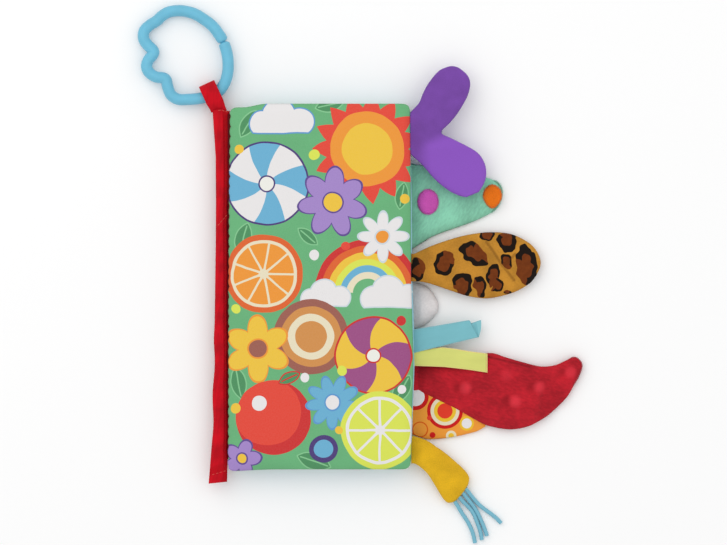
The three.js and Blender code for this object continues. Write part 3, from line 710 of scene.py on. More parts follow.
def make_dot_print(base):
    """Orange cloth with rings and dots."""
    finish, art = begin_print("orange_print", base, roughness=0.75, cloud=0.06, light=1.05)
    c = PAINTS
    art.disc(80, -80, 11.5, c["red"], c["cream"], c["gold"], c["vermilion"], step=2.2)
    art.disc(61, -71, 8.5, c["red"], c["white"], step=2.6)
    art.disc(64, -92, 5.2, c["vivid"], linear(base), step=0.8)
    art.disc(94, -88, 4.6, c["gold"], c["white"], step=1.4)
    art.disc(99, -82, 2.2, c["red"])
    art.disc(72, -95.5, 1.9, c["red"])
    art.disc(84, -96, 3.4, c["cream"], c["gold"], step=1.6)
    art.disc(70, -84.5, 1.6, c["vermilion"])
    return finish.done(art.seen, knit_height(finish, 0.7, 0.04, 1.5, 0.12))


# Mesh building


def add_mesh(name, points, faces):
    mesh = bpy.data.meshes.new(name)
    mesh.from_pydata([tuple(p) for p in points], [], faces)
    mesh.validate()
    for polygon in mesh.polygons:
        polygon.use_smooth = True
    piece = bpy.data.objects.new(name, mesh)
    bpy.context.scene.collection.objects.link(piece)
    return piece


def add_closed(name, points, faces, merge=0.0):
    """A closed form, with its faces turned outward and points nearer than merge
    joined."""
    piece = add_mesh(name, points, faces)
    mesh = bmesh.new()
    mesh.from_mesh(piece.data)
    if merge:
        bmesh.ops.remove_doubles(mesh, verts=mesh.verts, dist=merge)
    bmesh.ops.recalc_face_normals(mesh, faces=mesh.faces)
    mesh.to_mesh(piece.data)
    mesh.free()
    return piece


def grid_faces(rows, columns):
    """Quads over rows of points."""
    return [[a, a + 1, a + columns + 1, a + columns]
            for r in range(rows - 1) for a in range(r * columns, (r + 1) * columns - 1)]


def tube_faces(rings, sides, first=0):
    """Quads round a run of rings of points, then a face on each end."""
    faces = []
    for i in range(rings - 1):
        for k in range(sides):
            a, b = first + i * sides + k, first + i * sides + (k + 1) % sides
            faces.append([a, b, b + sides, a + sides])
    ring = range(first, first + sides)
    return faces + [[*ring][::-1], [(rings - 1) * sides + k for k in ring]]


def coordinates(mesh):
    co = np.empty(len(mesh.vertices) * 3)
    mesh.vertices.foreach_get("co", co)
    return co.reshape(-1, 3)


def move_points(piece, points):
    piece.data.vertices.foreach_set("co", np.asarray(points, float).ravel())
    piece.data.update()


def lay_plan(piece, flat=None):
    """A UV map that holds each corner's place on the sewn or the flat cloth."""
    layer = piece.data.uv_layers.new(name=PLAN)
    places = coordinates(piece.data)[:, :2] if flat is None else np.array(flat)
    corners = np.empty(len(piece.data.loops), int)
    piece.data.loops.foreach_get("vertex_index", corners)
    layer.data.foreach_set("uv", (places[corners] / (MM * PLAN_MM)).ravel())


def settle(piece, material, body, slot, *nodes, fill=None):
    """Keeps a mesh off the table, then gives the piece its material, fastens it to its body,
    or, where the body is a bend, leaves it unparented where it lies, and hides the CAD nodes
    it stands for. The slot and fill are not used."""
    piece.data.materials.append(material)
    if piece.type == "MESH":
        points = coordinates(piece.data)
        points[:, 2] = np.maximum(points[:, 2], TABLE_LIFT * MM)
        move_points(piece, points)
    if isinstance(body, tuple):
        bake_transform(piece)
    else:
        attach(piece, body)
    if nodes:
        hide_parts(*nodes)


def apply_modifier(piece, kind, **settings):
    """Leaves a piece's mesh as one modifier makes it."""
    modifier = piece.modifiers.new(kind.lower(), kind)
    for key, value in settings.items():
        setattr(modifier, key, value)
    graph = bpy.context.evaluated_depsgraph_get()
    made = bpy.data.meshes.new_from_object(piece.evaluated_get(graph), depsgraph=graph)
    piece.modifiers.clear()
    piece.data = made


def subdivide(piece):
    apply_modifier(piece, "SUBSURF", levels=1, render_levels=1)


def through(table, count):
    """The rows of a table drawn out to count rows on a smooth curve."""
    table = np.array(table, float)
    last = len(table) - 1
    s = np.linspace(0, last, count)
    i = np.minimum(s.astype(int), last - 1)
    t = (s - i)[:, None]
    before, here = table[np.maximum(i - 1, 0)], table[i]
    there, after = table[i + 1], table[np.minimum(i + 2, last)]
    return 0.5 * (
        2 * here
        + (there - before) * t
        + (2 * before - 5 * here + 4 * there - after) * t**2
        + (3 * here - before - 3 * there + after) * t**3
    )


def pillow(name, top, under):
    """A closed form from two grids of points that share their borders. Faces of
    the two take turns. Its attribute "seam" runs from 0 in the middle to 1 at the
    borders."""
    rows, columns = top.shape[:2]
    near = np.maximum(*np.meshgrid(np.abs(np.linspace(-1, 1, columns)),
                                   np.abs(np.linspace(-1, 1, rows)))) ** 10
    points = [*top.reshape(-1, 3), *under[1:-1, 1:-1].reshape(-1, 3)]
    held = [*near.ravel(), *near[1:-1, 1:-1].ravel()]
    index = np.arange(rows * columns).reshape(rows, columns)
    index[1:-1, 1:-1] = np.arange(index.size, len(points)).reshape(rows - 2, columns - 2)
    lower = index.ravel().tolist()
    faces = []
    for face in grid_faces(rows, columns):
        faces += [face, [lower[k] for k in face[::-1]]]
    piece = add_mesh(name, points, faces)
    mesh = piece.data
    mesh.attributes.new("seam", "FLOAT", "POINT").data.foreach_set("value", held)
    creases = [float(all(held[v] == 1 for v in edge.vertices)) for edge in mesh.edges]
    mesh.attributes.new("crease_edge", "FLOAT", "EDGE").data.foreach_set("value", creases)
    return piece


FILLING_STEPS = 20
FILLING_CLOTH = {
    "quality": 6, "mass": 0.05, "tension_stiffness": 12, "compression_stiffness": 12,
    "bending_stiffness": 0.05, "use_pressure": True,
}


def puff(piece, cap, pressure=4.0, spare=0.04):
    """Fills a sewn form by cloth simulation, no point moving further than cap.
    The seam keeps the outline that it was drawn to."""
    held = np.empty(len(piece.data.vertices))
    piece.data.attributes["seam"].data.foreach_get("value", held)
    piece.data.attributes.remove(piece.data.attributes["seam"])
    scene = bpy.context.scene
    rest = coordinates(piece.data)
    cloth = piece.modifiers.new("filling", "CLOTH")
    for key, value in FILLING_CLOTH.items():
        setattr(cloth.settings, key, value)
    cloth.settings.uniform_pressure_force = pressure
    cloth.settings.shrink_min = -spare
    cloth.settings.effector_weights.gravity = 0
    cloth.point_cache.frame_start, cloth.point_cache.frame_end = 1, FILLING_STEPS
    for step in range(1, FILLING_STEPS + 1):
        scene.frame_set(step)
    graph = bpy.context.evaluated_depsgraph_get()
    moved = coordinates(piece.evaluated_get(graph).data)
    piece.modifiers.remove(cloth)
    step = moved - rest
    size = np.linalg.norm(step, axis=1, keepdims=True)
    step *= cap * np.tanh(size / cap) / np.maximum(size, 1e-9)
    step[:, :2] *= (1 - held)[:, None]
    move_points(piece, rest + step)
    scene.frame_set(1)


def wander(place, size, grain):
    """A smooth random height at a place in metres."""
    return noise.noise(Vector((place[0], place[1], 0.37)) / grain) * size


# Leaves


LEAF_COLUMNS, LEAF_ROWS = 35, 97
CORNER_RADIUS = 4.4
# The drop of the spine's upper corner, where it starts to fade and over what width,
# then the drop and the width of the lower one.
TOP_DROP, TOP_FROM, TOP_RUN = 2.3, 9, 14
FOOT_DROP, FOOT_RUN = 1.2, 18
# Edges of the leaves as they were sewn: y, then x of the spine side, the covers'
# open side and the middle leaf's open side.
LEAF_EDGES = np.array([
    (-117, -59.6, 57.7, 57.9), (-111, -59.2, 57.9, 58.6), (-92, -59.0, 58.4, 59.2),
    (-47, -58.9, 59.7, 60.9), (-28, -58.9, 59.1, 60.5), (10, -58.8, 58.0, 59.2),
    (55, -58.5, 58.0, 59.0), (84, -58.2, 57.7, 58.2), (113, -57.9, 57.4, 57.4),
])
LEAF_SHORT = 1.2
SEAM_LAP = 0.35
PAGE_SHARE = 0.994, 0.997
SCALLOP, SCALLOP_DEPTH, SCALLOP_RUN = 6.4, 0.75, 1.3


def leaf_shares(count, power):
    """Grid lines from -1 to 1, closer together at the seam."""
    t = np.linspace(-1, 1, count)
    return np.sign(t) * (1 - (1 - np.abs(t)) ** power)


def spine_side(y):
    return np.interp(y, LEAF_EDGES[:, 0], LEAF_EDGES[:, 1])


def leaf_plan(side, short, u, v):
    """Where a leaf's share across and up lies, in millimetres."""
    half = LEAF_HEIGHT / 2 - short
    y = v * half
    left = spine_side(y)
    right = np.interp(y, LEAF_EDGES[:, 0], LEAF_EDGES[:, side])
    x = left + (right - left) * (u + 1) / 2
    in_x = max(left + CORNER_RADIUS - x, x - right + CORNER_RADIUS)
    in_y = abs(y) - (half - CORNER_RADIUS)
    if in_x > 0 and in_y > 0:
        pull = 1 - max(in_x, in_y) / math.hypot(in_x, in_y)
        x -= math.copysign(in_x * pull, u)
        y -= math.copysign(in_y * pull, v)
    from_spine = x - left
    if v > 0:
        drop = TOP_DROP * (1 - smooth_step((from_spine - TOP_FROM) / TOP_RUN))
    else:
        drop = FOOT_DROP * bell(from_spine / FOOT_RUN)
    return x, y - drop * v**6


def make_leaf(name, side, short, mid_z, grain, sizes):
    """A sewn and wadded leaf, as one closed form in the CAD leaf's space."""
    us, vs = leaf_shares(LEAF_COLUMNS, 1.35), leaf_shares(LEAF_ROWS, 1.12)
    top = np.zeros((len(vs), len(us), 3))
    for r, v in enumerate(vs):
        for c, u in enumerate(us):
            x, y = leaf_plan(side, short, u, v)
            loft = (1 - abs(u) ** 7) ** 0.62 * (1 - abs(v) ** 14) ** 0.62
            swell = 1 + wander((x * MM + grain, y * MM), 0.14, 0.03)
            top[r, c] = x * MM, y * MM, (LEAF_THICKNESS / 2 - 0.45) * loft * swell * MM
    piece = pillow(name, top, top * (1, 1, -1))
    puff(piece, sizes.leaf_cap, pressure=3, spare=0.035)
    points = coordinates(piece.data)
    limit = (min(LEAF_THICKNESS / 2, mid_z - TABLE_LIFT - 0.1) - SEAM_LAP) * MM
    points[:, 2] = limit * np.tanh(points[:, 2] / limit * 1.25) + mid_z * MM
    move_points(piece, points)
    return piece


def split_leaf(leaf, names, sizes):
    """The leaf's two panels, each as thick as its cloth, scalloped at the
    spine where each stitch of the binding draws them in."""
    made = []
    for name, sign in zip(names, (1, -1)):
        mesh = bmesh.new()
        mesh.from_mesh(leaf.data)
        mesh.faces.ensure_lookup_table()
        wrong = [f for f in mesh.faces if (f.index % 2 == 0) != (sign > 0)]
        bmesh.ops.delete(mesh, geom=wrong, context="FACES")
        data = bpy.data.meshes.new(name)
        mesh.to_mesh(data)
        mesh.free()
        panel = bpy.data.objects.new(name, data)
        bpy.context.scene.collection.objects.link(panel)
        lay_plan(panel)
        subdivide(panel)
        points = coordinates(panel.data)
        x, y = points[:, 0] / MM, points[:, 1] / MM
        drawn = SCALLOP_DEPTH * (1 - np.abs(np.sin(math.pi * y / SCALLOP))) ** 1.4
        near = np.exp(-np.maximum(x - spine_side(y), 0) / SCALLOP_RUN)
        points[:, 0] += drawn * near * MM
        points[:, 2] += sign * SEAM_LAP * MM
        if "page" in name:
            points[:, :2] *= PAGE_SHARE
        move_points(panel, points)
        apply_modifier(panel, "SOLIDIFY", thickness=sizes.cloth, offset=-1)
        made.append(panel)
    bpy.data.objects.remove(leaf)
    return made


class MakeLeaves(bpy.types.Operator):
    """Make the three padded leaves, each of two panels sewn round wadding"""

    bl_idname = "cloth_book.leaves"
    bl_label = "Leaves"

    def execute(self, context):
        sizes, tints = chosen(context)
        cover, back = make_cover_print(tints.ground), make_back_print(tints.ground)
        page = make_page_finish(tints.page)
        rows = [
            ("front_cover", 2, 0, FRONT_Z, FRONT, 0.0,
             ("print", cover, "printed_cloth", "front_cover_outer_panel"),
             ("page", page, "page_cloth", "front_cover_inner_panel")),
            ("middle_leaf", 3, LEAF_SHORT, MIDDLE_Z, SPINE, 0.31,
             ("front_page", page, "page_cloth", "middle_leaf_front_panel"),
             ("back_page", page, "page_cloth", "middle_leaf_back_panel")),
            ("back_cover", 2, LEAF_SHORT, BACK_Z, BACK, 0.77,
             ("page", page, "page_cloth", "back_cover_inner_panel"),
             ("print", back, "printed_cloth", "back_cover_outer_panel")),
        ]
        for name, side, short, mid_z, body, grain, upper, lower in rows:
            leaf = make_leaf(name, side, short, mid_z, grain, sizes)
            names = [f"{name}_{panel[0]}_cloth" for panel in (upper, lower)]
            hidden = [f"{name}_wadding", f"{name}_crinkle_film"]
            panels = split_leaf(leaf, names, sizes)
            for panel, (_, material, slot, node) in zip(panels, (upper, lower)):
                settle(panel, material, body, slot, node, *hidden, fill=0.35)
                hidden = []
        return {"FINISHED"}


# Spine: hinge cloths, binding tape and its sewing


HINGE_START, HINGE_HALF, HINGE_CLOTH, HINGE_STEPS = -65.6, 110.5, 0.8, 61


def hinge_cloth(leaf, path):
    """A flat band of cloth down the spine: its path's points are in x and z."""
    path = np.array(path, float)
    tangent = np.gradient(path, axis=0)
    tangent /= np.linalg.norm(tangent, axis=1, keepdims=True)
    normal = np.stack([-tangent[:, 1], tangent[:, 0]], axis=1) * HINGE_CLOTH / 2
    outline = np.concatenate([path + normal, (path - normal)[::-1]])
    points = []
    for y in np.linspace(HINGE_HALF, -HINGE_HALF, HINGE_STEPS):
        for x, z in outline:
            lift = wander((y * MM * 3, x * MM), 0.3, 0.02)
            points.append(((x + lift) * MM, y * MM, z * MM))
    faces = tube_faces(HINGE_STEPS, len(outline))
    piece = add_closed(f"{leaf}_hinge_cloth", points, faces)
    lay_plan(piece)
    return piece


class MakeHingeCloths(bpy.types.Operator):
    """Make the unpadded cloth on which each leaf turns at the binding"""

    bl_idname = "cloth_book.hinge_cloths"
    bl_label = "Hinge cloths"

    def execute(self, context):
        tape = chosen(context)[1].tape
        # Painted shade: the hinge cloths are the tape's red darkened to 0.42, a dark strip
        # that stands for the shade in the gap between the binding and the covers.
        red = make_tape_finish("hinge_cloth", [c * 0.42 for c in tape])
        for leaf, side, fold_z, body in (("front_cover", 1, FRONT_Z, FRONT),
                                         ("back_cover", -1, BACK_Z, BACK)):
            low = MIDDLE_Z + side * 1.3
            piece = hinge_cloth(leaf, [
                (HINGE_START, low), (-62, low), (-60.2, low), (-59.2, low + side * 0.4),
                (HINGE_X, low + side * 1.6), (HINGE_X, low + side * 4),
                (HINGE_X + 0.15, fold_z - side * 0.7), (-58.3, fold_z - side * 0.1),
                (-57.2, fold_z)])
            bend = (SPINE, body, (HINGE_X * MM, 0, (fold_z - side * 1.6) * MM),
                    (-0.0578, 0, (fold_z - side * 0.1) * MM))
            settle(piece, red, bend, "binding_tape", f"{leaf}_hinge_strip")
        path = [(x, MIDDLE_Z) for x in (HINGE_START, -63, -60.5, -58.6, -57.4)]
        piece = hinge_cloth("middle_leaf", path)
        page = bpy.data.materials["page_cloth_finish"]
        settle(piece, page, SPINE, "page_cloth", "middle_leaf_hinge_strip")
        return {"FINISHED"}


# The hand-sewn binding. SWAY is how far it bows to the left at eight equal steps
# down. The hem's edge is STEP_ACROSS in from the right one. HEM is the turned-up
# end and JOIN the slanting overlap, each with its height and its slope. The top
# spreads to the right from SPREAD_FROM up, the left edge has waves from WAVES_FOOT
# to WAVES_TOP, and the tape is flat past LEAVES_END.
BINDING_TOP, BINDING_LENGTH = 113.4, 239.5
BINDING_RIGHT, BINDING_WIDTH, BINDING_HEIGHT = -59.7, 7.3, 5.8
BINDING_SWAY = [0.47, 0.04, 0, 0.04, 0.13, 0.23, 0.34, 0.49, 1]
BINDING_SWELL, BINDING_LEAN = 4.7, 0.15
STEP_ACROSS, STEP_TAPER = 2.0, 0.006
HEM_Y, HEM_SLOPE = -120.5, 0.29
JOIN_Y, JOIN_SLOPE = 45.9, 1.15
END_SLANT, SLANT_X = math.tan(math.radians(9)), -64.9
SPREAD, SPREAD_FROM, SPREAD_RUN = 1.1, 30, 80
WAVES, WAVES_PITCH, WAVES_TOP, WAVES_FOOT, WAVES_RUN = 0.5, 6.3, -20, -105, 20
LEAVES_END, LEAVES_END_RUN = -112, 9
BINDING_STEPS = 300
# The relief of its face: how low the tape lies before the hem's edge and at its own
# edge, the puckers of the seam, the groove of the join, and how the turned-up end
# rises past the groove of its stitches. Past the leaves the tape is flatter by a
# share of its thickness and of its relief. Its right corner drops at the top.
BINDING_OVER = 0.3
STEP_DROP, STEP_LEAD, STEP_RUN = 0.5, 0.3, 0.5
EDGE_DROP, EDGE_RUN = 0.9, 1.1
PUCKER, PUCKER_PITCH, PUCKER_ACROSS, PUCKER_RUN = 0.12, 3.3, 2.2, 1.1
JOIN_DROP, JOIN_RUN = 0.25, 0.7
HEM_RISE, HEM_RUN, HEM_GROOVE = 0.3, 0.8, 0.5
FLATTER_SHARE, CALMER_SHARE = 0.52, 0.4
CORNER_DROP, CORNER_LEFT, CORNER_WIDTH = 1.6, -63.4, 3.6
CORNER_FOOT, CORNER_HEIGHT = 104, 9
# The seam's thread, its ends and its share of the way to the hem's edge, and the
# height of the stitches across the top.
SEAM_THREAD = (0.74, 0.13, 0.17)
SEAM_TOP, SEAM_FOOT, SEAM_SHARE, TOP_STITCHES = 110, -119, 0.62, 112.7


def binding_x(x, y):
    """Where the hand sewing leaves a point of the straight tape."""
    share = (BINDING_TOP - y) / BINDING_LENGTH
    sway = np.interp(share * 8, range(9), BINDING_SWAY)
    left = (BINDING_RIGHT - x) / BINDING_WIDTH
    bow = BINDING_SWELL * sway * (left + BINDING_LEAN * (1 - left) * sway)
    spread = SPREAD * smooth_step((y - SPREAD_FROM) / SPREAD_RUN) * (1 - left)
    waves = WAVES * math.sin(y / WAVES_PITCH) * left
    waves *= smooth_step((WAVES_TOP - y) / WAVES_RUN)
    waves *= smooth_step((y - WAVES_FOOT) / WAVES_RUN)
    return x - bow + spread - waves


def binding_profile(steps=18):
    """The tape's outer line from its upper edge round to its lower one: x, z."""
    half = BINDING_HEIGHT / 2
    round_x = BINDING_RIGHT - BINDING_WIDTH + half
    across = np.linspace(BINDING_RIGHT + BINDING_OVER, round_x, steps)
    turn = np.linspace(math.pi / 2, 1.5 * math.pi, steps)[1:-1]
    upper = [(x, half) for x in across]
    bend = [(round_x + half * math.cos(a), half * math.sin(a)) for a in turn]
    lower = [(x, -half) for x in across[::-1]]
    return upper + bend + lower


def step_across(y):
    """How far in from the tape's edge its folded hem ends."""
    return STEP_ACROSS + STEP_TAPER * y


def tape_face(across):
    """Height of the upright tape's face, which rounds over to the left."""
    half = BINDING_HEIGHT / 2
    over = max(0, across - BINDING_WIDTH + half) / half
    return half * math.sqrt(max(0, 1 - over * over))


def binding_relief(across, y):
    """Height of the tape's face over its flat, from the right edge inward."""
    step = STEP_DROP * smooth_step((across - step_across(y) + STEP_LEAD) / STEP_RUN)
    edge = EDGE_DROP * max(0, 1 - (across + BINDING_OVER) / EDGE_RUN) ** 2
    pucker = PUCKER * math.sin(2 * math.pi * y / PUCKER_PITCH)
    pucker *= bell((across - PUCKER_ACROSS) / PUCKER_RUN)
    join = JOIN_DROP * bell((across - (JOIN_Y - y) / JOIN_SLOPE) / JOIN_RUN)
    return step - STEP_DROP - edge + pucker - join


def hem_y(x):
    """Height of the hem's stitch line."""
    return HEM_Y + (x - STRAP_X) * HEM_SLOPE


def binding_point(x, z, y, inset=0.0):
    """A point of the tape, flattened where it runs on past the leaves."""
    side = 1 if z > 0 else -1
    past = smooth_step((LEAVES_END - y) / LEAVES_END_RUN)
    across, hem = BINDING_RIGHT - x, hem_y(x) - y
    relief = binding_relief(across, y) * (1 - CALMER_SHARE * past)
    relief += HEM_RISE * (smooth_step(hem / HEM_RUN) - bell(hem / HEM_GROOVE))
    level = z * (1 - FLATTER_SHARE * past)
    level += side * (abs(z) / (BINDING_HEIGHT / 2)) ** 3 * relief
    level += wander((x * MM, y * MM), 0.25, 0.011) - side * inset
    share = (BINDING_TOP - y) / BINDING_LENGTH
    slant = (x - SLANT_X) * END_SLANT * abs(1 - 2 * share)
    corner = smooth_step((x - CORNER_LEFT) / CORNER_WIDTH)
    slant -= CORNER_DROP * corner * smooth_step((y - CORNER_FOOT) / CORNER_HEIGHT)
    edge = wander((y * MM, side * 0.1), 0.5, 0.006) * max(0, 1 - across / 1.6)
    return (binding_x(x, y) + edge) * MM, (y + slant) * MM, (MIDDLE_Z + level) * MM


class MakeBinding(bpy.types.Operator):
    """Make the red tape folded round the sewn edges of the leaves"""

    bl_idname = "cloth_book.binding"
    bl_label = "Spine binding"

    def execute(self, context):
        sizes, tints = chosen(context)
        profile = binding_profile()
        tape = sizes.tape / MM
        outline = profile + profile[::-1]
        n = len(outline)
        points, flat = [], []
        for i in range(BINDING_STEPS + 1):
            y = BINDING_TOP - BINDING_LENGTH * i / BINDING_STEPS
            for k, (x, z) in enumerate(outline):
                inset = tape if k >= len(profile) else 0
                shrunk = max(x, BINDING_RIGHT - BINDING_WIDTH + inset)
                points.append(binding_point(shrunk, z, y, inset))
                round_over = (BINDING_HEIGHT / 2 - abs(z)) * 1.2
                flat.append(((x - round_over) * MM, y * MM))
        ends = [[k, k + 1, n - 2 - k, n - 1 - k] for k in range(len(profile) - 1)]
        last = BINDING_STEPS * n
        faces = tube_faces(BINDING_STEPS + 1, n)[:-2] + ends
        faces += [[last + k for k in end[::-1]] for end in ends]
        piece = add_closed("spine_binding_tape", points, faces)
        lay_plan(piece, flat)
        red = make_tape_finish("binding_tape", tints.tape, folded=True)
        settle(piece, red, SPINE, "binding_tape", "spine_binding")
        self.sew(sizes, tints)
        return {"FINISHED"}

    def sew(self, sizes, tints):
        """The seam down each face, then the stitches of hem, top and join."""
        thread = make_thread_finish("tape_thread", tints.thread)
        seam = make_thread_finish("seam_thread", SEAM_THREAD)
        for side, name in ((1, "front"), (-1, "back")):
            line = [binding_point(BINDING_RIGHT - step_across(y) * SEAM_SHARE,
                                  side * BINDING_HEIGHT / 2, y)
                    for y in np.arange(SEAM_TOP, SEAM_FOOT, -0.5)]
            piece = make_stitches(f"binding_{name}_stitches", [line], sizes, side, fat=0.6)
            settle(piece, seam, SPINE, "binding_tape")
        across = [(a, BINDING_RIGHT - a, tape_face(a)) for a in np.arange(0.2, 6.6, 0.2)]
        lines = [[binding_point(x, z, hem_y(x)) for a, x, z in across],
                 [binding_point(x, z, TOP_STITCHES) for a, x, z in across],
                 [binding_point(x, z, JOIN_Y - a * JOIN_SLOPE) for a, x, z in across]]
        piece = make_stitches("binding_end_stitches", lines, sizes, 1, gap=0.75)
        settle(piece, thread, SPINE, "binding_tape")


def make_stitches(name, lines, sizes, side, gap=1.0, fat=1.0):
    """Short arcs of thread along lines of points."""
    rings, sides = 7, 6
    arch = np.sin(np.linspace(0, math.pi, rings))
    up = Vector((0, 0, side))
    points, faces = [], []
    for line in lines:
        run = np.array(line, float)
        along = np.concatenate([[0], np.cumsum(np.linalg.norm(np.diff(run, axis=0), axis=1))])
        for start in np.arange(0, along[-1] - sizes.stitch, sizes.stitch_pitch * gap):
            at = start + sizes.stitch * np.linspace(0, 1, rings)
            centre = np.stack([np.interp(at, along, run[:, k]) for k in range(3)], axis=1)
            centre[:, 2] += side * (arch * 1.1 - 0.45) * sizes.thread * fat
            cross = Vector(centre[-1] - centre[0]).normalized().cross(up).normalized()
            faces += tube_faces(rings, sides, first=len(points))
            for middle, swell in zip(centre, np.sqrt(arch * 0.85 + 0.15)):
                for k in range(sides):
                    turn = 2 * math.pi * k / sides
                    off = cross * math.cos(turn) + up * math.sin(turn)
                    points.append(Vector(middle) + off * sizes.thread * float(swell) * fat)
    return add_closed(name, points, faces)


# Strap and ring. The strap's root is at STRAP_X and STRAP_Y; it heads up and left,
# and holds the ring in its LOOP. OUTER and INNER are half the tape's doubled
# thickness and half its slit at the root, and its edges are thinner by SELVAGE.


STRAP_WIDTH, STRAP_X, STRAP_Y = 10.8, -65.6, 113.75
STRAP_HEADING, STRAP_ROOT_HEADING = math.radians(114.5), math.radians(9)
LOOP_CENTRE, LOOP_REACH, LOOP_HALF, STRAP_DROP = 11, 7.2, 6.4, 3.3
RING_ALONG, RING_ACROSS = 10.4, 0.7
STRAP_TUCK, STRAP_BEND, STRAP_COLUMNS = 1.6, 0.9, 15
ROOT_OUTER, ROOT_INNER, SELVAGE = 0.95, 0.12, 0.25


def strap_point(s, h, across):
    """A place in metres, from millimetres along the loop, over its middle and
    across its tape, which turns from its root toward its own heading."""
    turned = smooth_step(s / LOOP_CENTRE)
    side = STRAP_ROOT_HEADING + turned * (STRAP_HEADING - math.pi / 2 - STRAP_ROOT_HEADING)
    middle = MIDDLE_Z - STRAP_DROP * turned
    return Vector((
        STRAP_X + s * math.cos(STRAP_HEADING) + across * math.cos(side),
        STRAP_Y + s * math.sin(STRAP_HEADING) + across * math.sin(side),
        middle + h,
    )) * MM


def teardrop(start, end, start_half, widest, steps=12):
    """The loop's outline: from its root along its top to its far end, and back
    below."""
    side = []
    for i in range(steps + 1):
        s = start + (LOOP_CENTRE - start) * i / steps
        side.append((s, start_half + (widest - start_half) * smooth_step(i / steps)))
    for i in range(1, steps):
        turn = math.pi / 2 * i / steps
        reach = (end - LOOP_CENTRE) * math.sin(turn)
        side.append((LOOP_CENTRE + reach, widest * math.cos(turn)))
    return side + [(end, 0)] + [(s, -h) for s, h in reversed(side)]


class MakeStrap(bpy.types.Operator):
    """Make the tape loop that holds the ring"""

    bl_idname = "cloth_book.strap"
    bl_label = "Ring strap"

    def execute(self, context):
        sizes, tints = chosen(context)
        tape = sizes.tape / MM
        end = LOOP_CENTRE + LOOP_REACH
        outer = teardrop(-STRAP_TUCK, end, ROOT_OUTER, LOOP_HALF)
        inner = teardrop(-STRAP_TUCK, end - tape, ROOT_INNER, LOOP_HALF - tape)
        columns, n = STRAP_COLUMNS, len(outer)
        points = []
        for line, lift in ((outer, 0), (inner, 1)):
            for s, h in line:
                for c in range(columns):
                    u = -1 + 2 * c / (columns - 1)
                    fray = 1 + wander((s * MM, c * 0.01 + lift), 0.03, 0.004)
                    across = u * STRAP_WIDTH / 2 * fray * (0.93 + 0.07 * smooth_step(s / 5))
                    thin = SELVAGE * abs(u) ** 8 * (1 if lift == 0 else -1)
                    level = h - math.copysign(thin, h) if abs(h) > 0.3 else h
                    sag = wander((s * MM + across * MM, across * MM), 0.45, 0.006)
                    points.append(strap_point(s, level + sag, across))
        size = n * columns
        faces = grid_faces(n, columns)
        faces += [[size + k for k in face[::-1]] for face in faces]
        rims = [(i * columns + c, columns) for i in range(n - 1) for c in (0, columns - 1)]
        rims += [(row * columns + c, 1) for row in (0, n - 1) for c in range(columns - 1)]
        faces += [[a, a + step, size + a + step, size + a] for a, step in rims]
        piece = add_closed("ring_strap_tape", points, faces)
        lay_plan(piece)
        red = make_tape_finish("strap_tape", tints.tape)
        ends = [(STRAP_X * MM, (STRAP_Y + off) * MM, MIDDLE_Z * MM)
                for off in (-STRAP_BEND, STRAP_BEND)]
        settle(piece, red, (SPINE, "strap", *ends), "binding_tape", "ring_strap")
        return {"FINISHED"}


# The ring's centre line: heading in degrees and share of its radius. HELD is the
# point of it that lies in the strap's loop, and CAP the length of a rounded end.
RING_OUTLINE = [
    (24, 0.94), (34, 0.93), (50, 0.95), (66, 0.98), (82, 1.05), (98, 1.12), (112, 1.17),
    (122, 1.17), (131, 1.15), (141, 1.2), (150, 1.23), (158, 1.17), (164, 1.04), (171, 0.86),
    (177, 0.85), (186, 0.97), (194, 1.04), (203, 1.03), (213, 0.94), (222, 0.81), (229, 0.8),
    (237, 0.9), (247, 1.04), (258, 1.09), (271, 1.07), (283, 1.08), (294, 1.108), (303, 1.12),
    (312, 1.158), (325, 1.12), (338, 1.06), (352, 1), (366, 0.96), (380, 0.94),
]
RING_RADIUS, RING_WIRE, RING_TILT = 26.2, 7.0, math.radians(-2.9)
RING_HELD = 303, 1.12
RING_STEPS, RING_SIDES, RING_CUT, RING_CAP = 340, 24, 4, 2.6


def on_ring(heading, share):
    return np.array(cos_sin(heading)) * RING_RADIUS * share


class MakeRing(bpy.types.Operator):
    """Make the split plastic ring, round behind and scalloped in front"""

    bl_idname = "cloth_book.ring"
    bl_label = "Link ring"

    def execute(self, context):
        line = np.array([on_ring(*place) for place in RING_OUTLINE]) - on_ring(*RING_HELD)
        line = through(line, RING_STEPS)[RING_CUT:-RING_CUT]
        tangents = np.gradient(line, axis=0)
        tangents /= np.linalg.norm(tangents, axis=1, keepdims=True)
        caps = [(share * RING_CAP, (1 - share**2.6) ** 0.5)
                for share in (0.25, 0.48, 0.68, 0.84, 0.95)]
        rings = [(line[0] - tangents[0] * off, tangents[0], fat) for off, fat in caps[::-1]]
        rings += [(place, tangent, 1.0) for place, tangent in zip(line, tangents)]
        rings += [(line[-1] + tangents[-1] * off, tangents[-1], fat) for off, fat in caps]
        side = STRAP_HEADING - math.pi / 2
        turn = Matrix.Rotation(RING_TILT, 3, Vector((math.cos(side), math.sin(side), 0)))
        seat = strap_point(RING_ALONG, 0, RING_ACROSS)
        points = []
        for (x, y), (tx, ty), fat in rings:
            for k in range(RING_SIDES):
                across, up = cos_sin(360 * k / RING_SIDES)
                parting_line = 0.05 * bell(up / 0.06)
                reach = RING_WIRE / 2 * fat * (1 + parting_line)
                local = Vector((x - ty * across * reach, y + tx * across * reach, up * reach))
                points.append(seat + turn @ (local * MM))
        piece = add_closed("link_ring_plastic", points, tube_faces(len(rings), RING_SIDES))
        plastic = make_ring_finish(chosen(context)[1].ring)
        settle(piece, plastic, "ring", "ring_plastic", "link_ring")
        return {"FINISHED"}


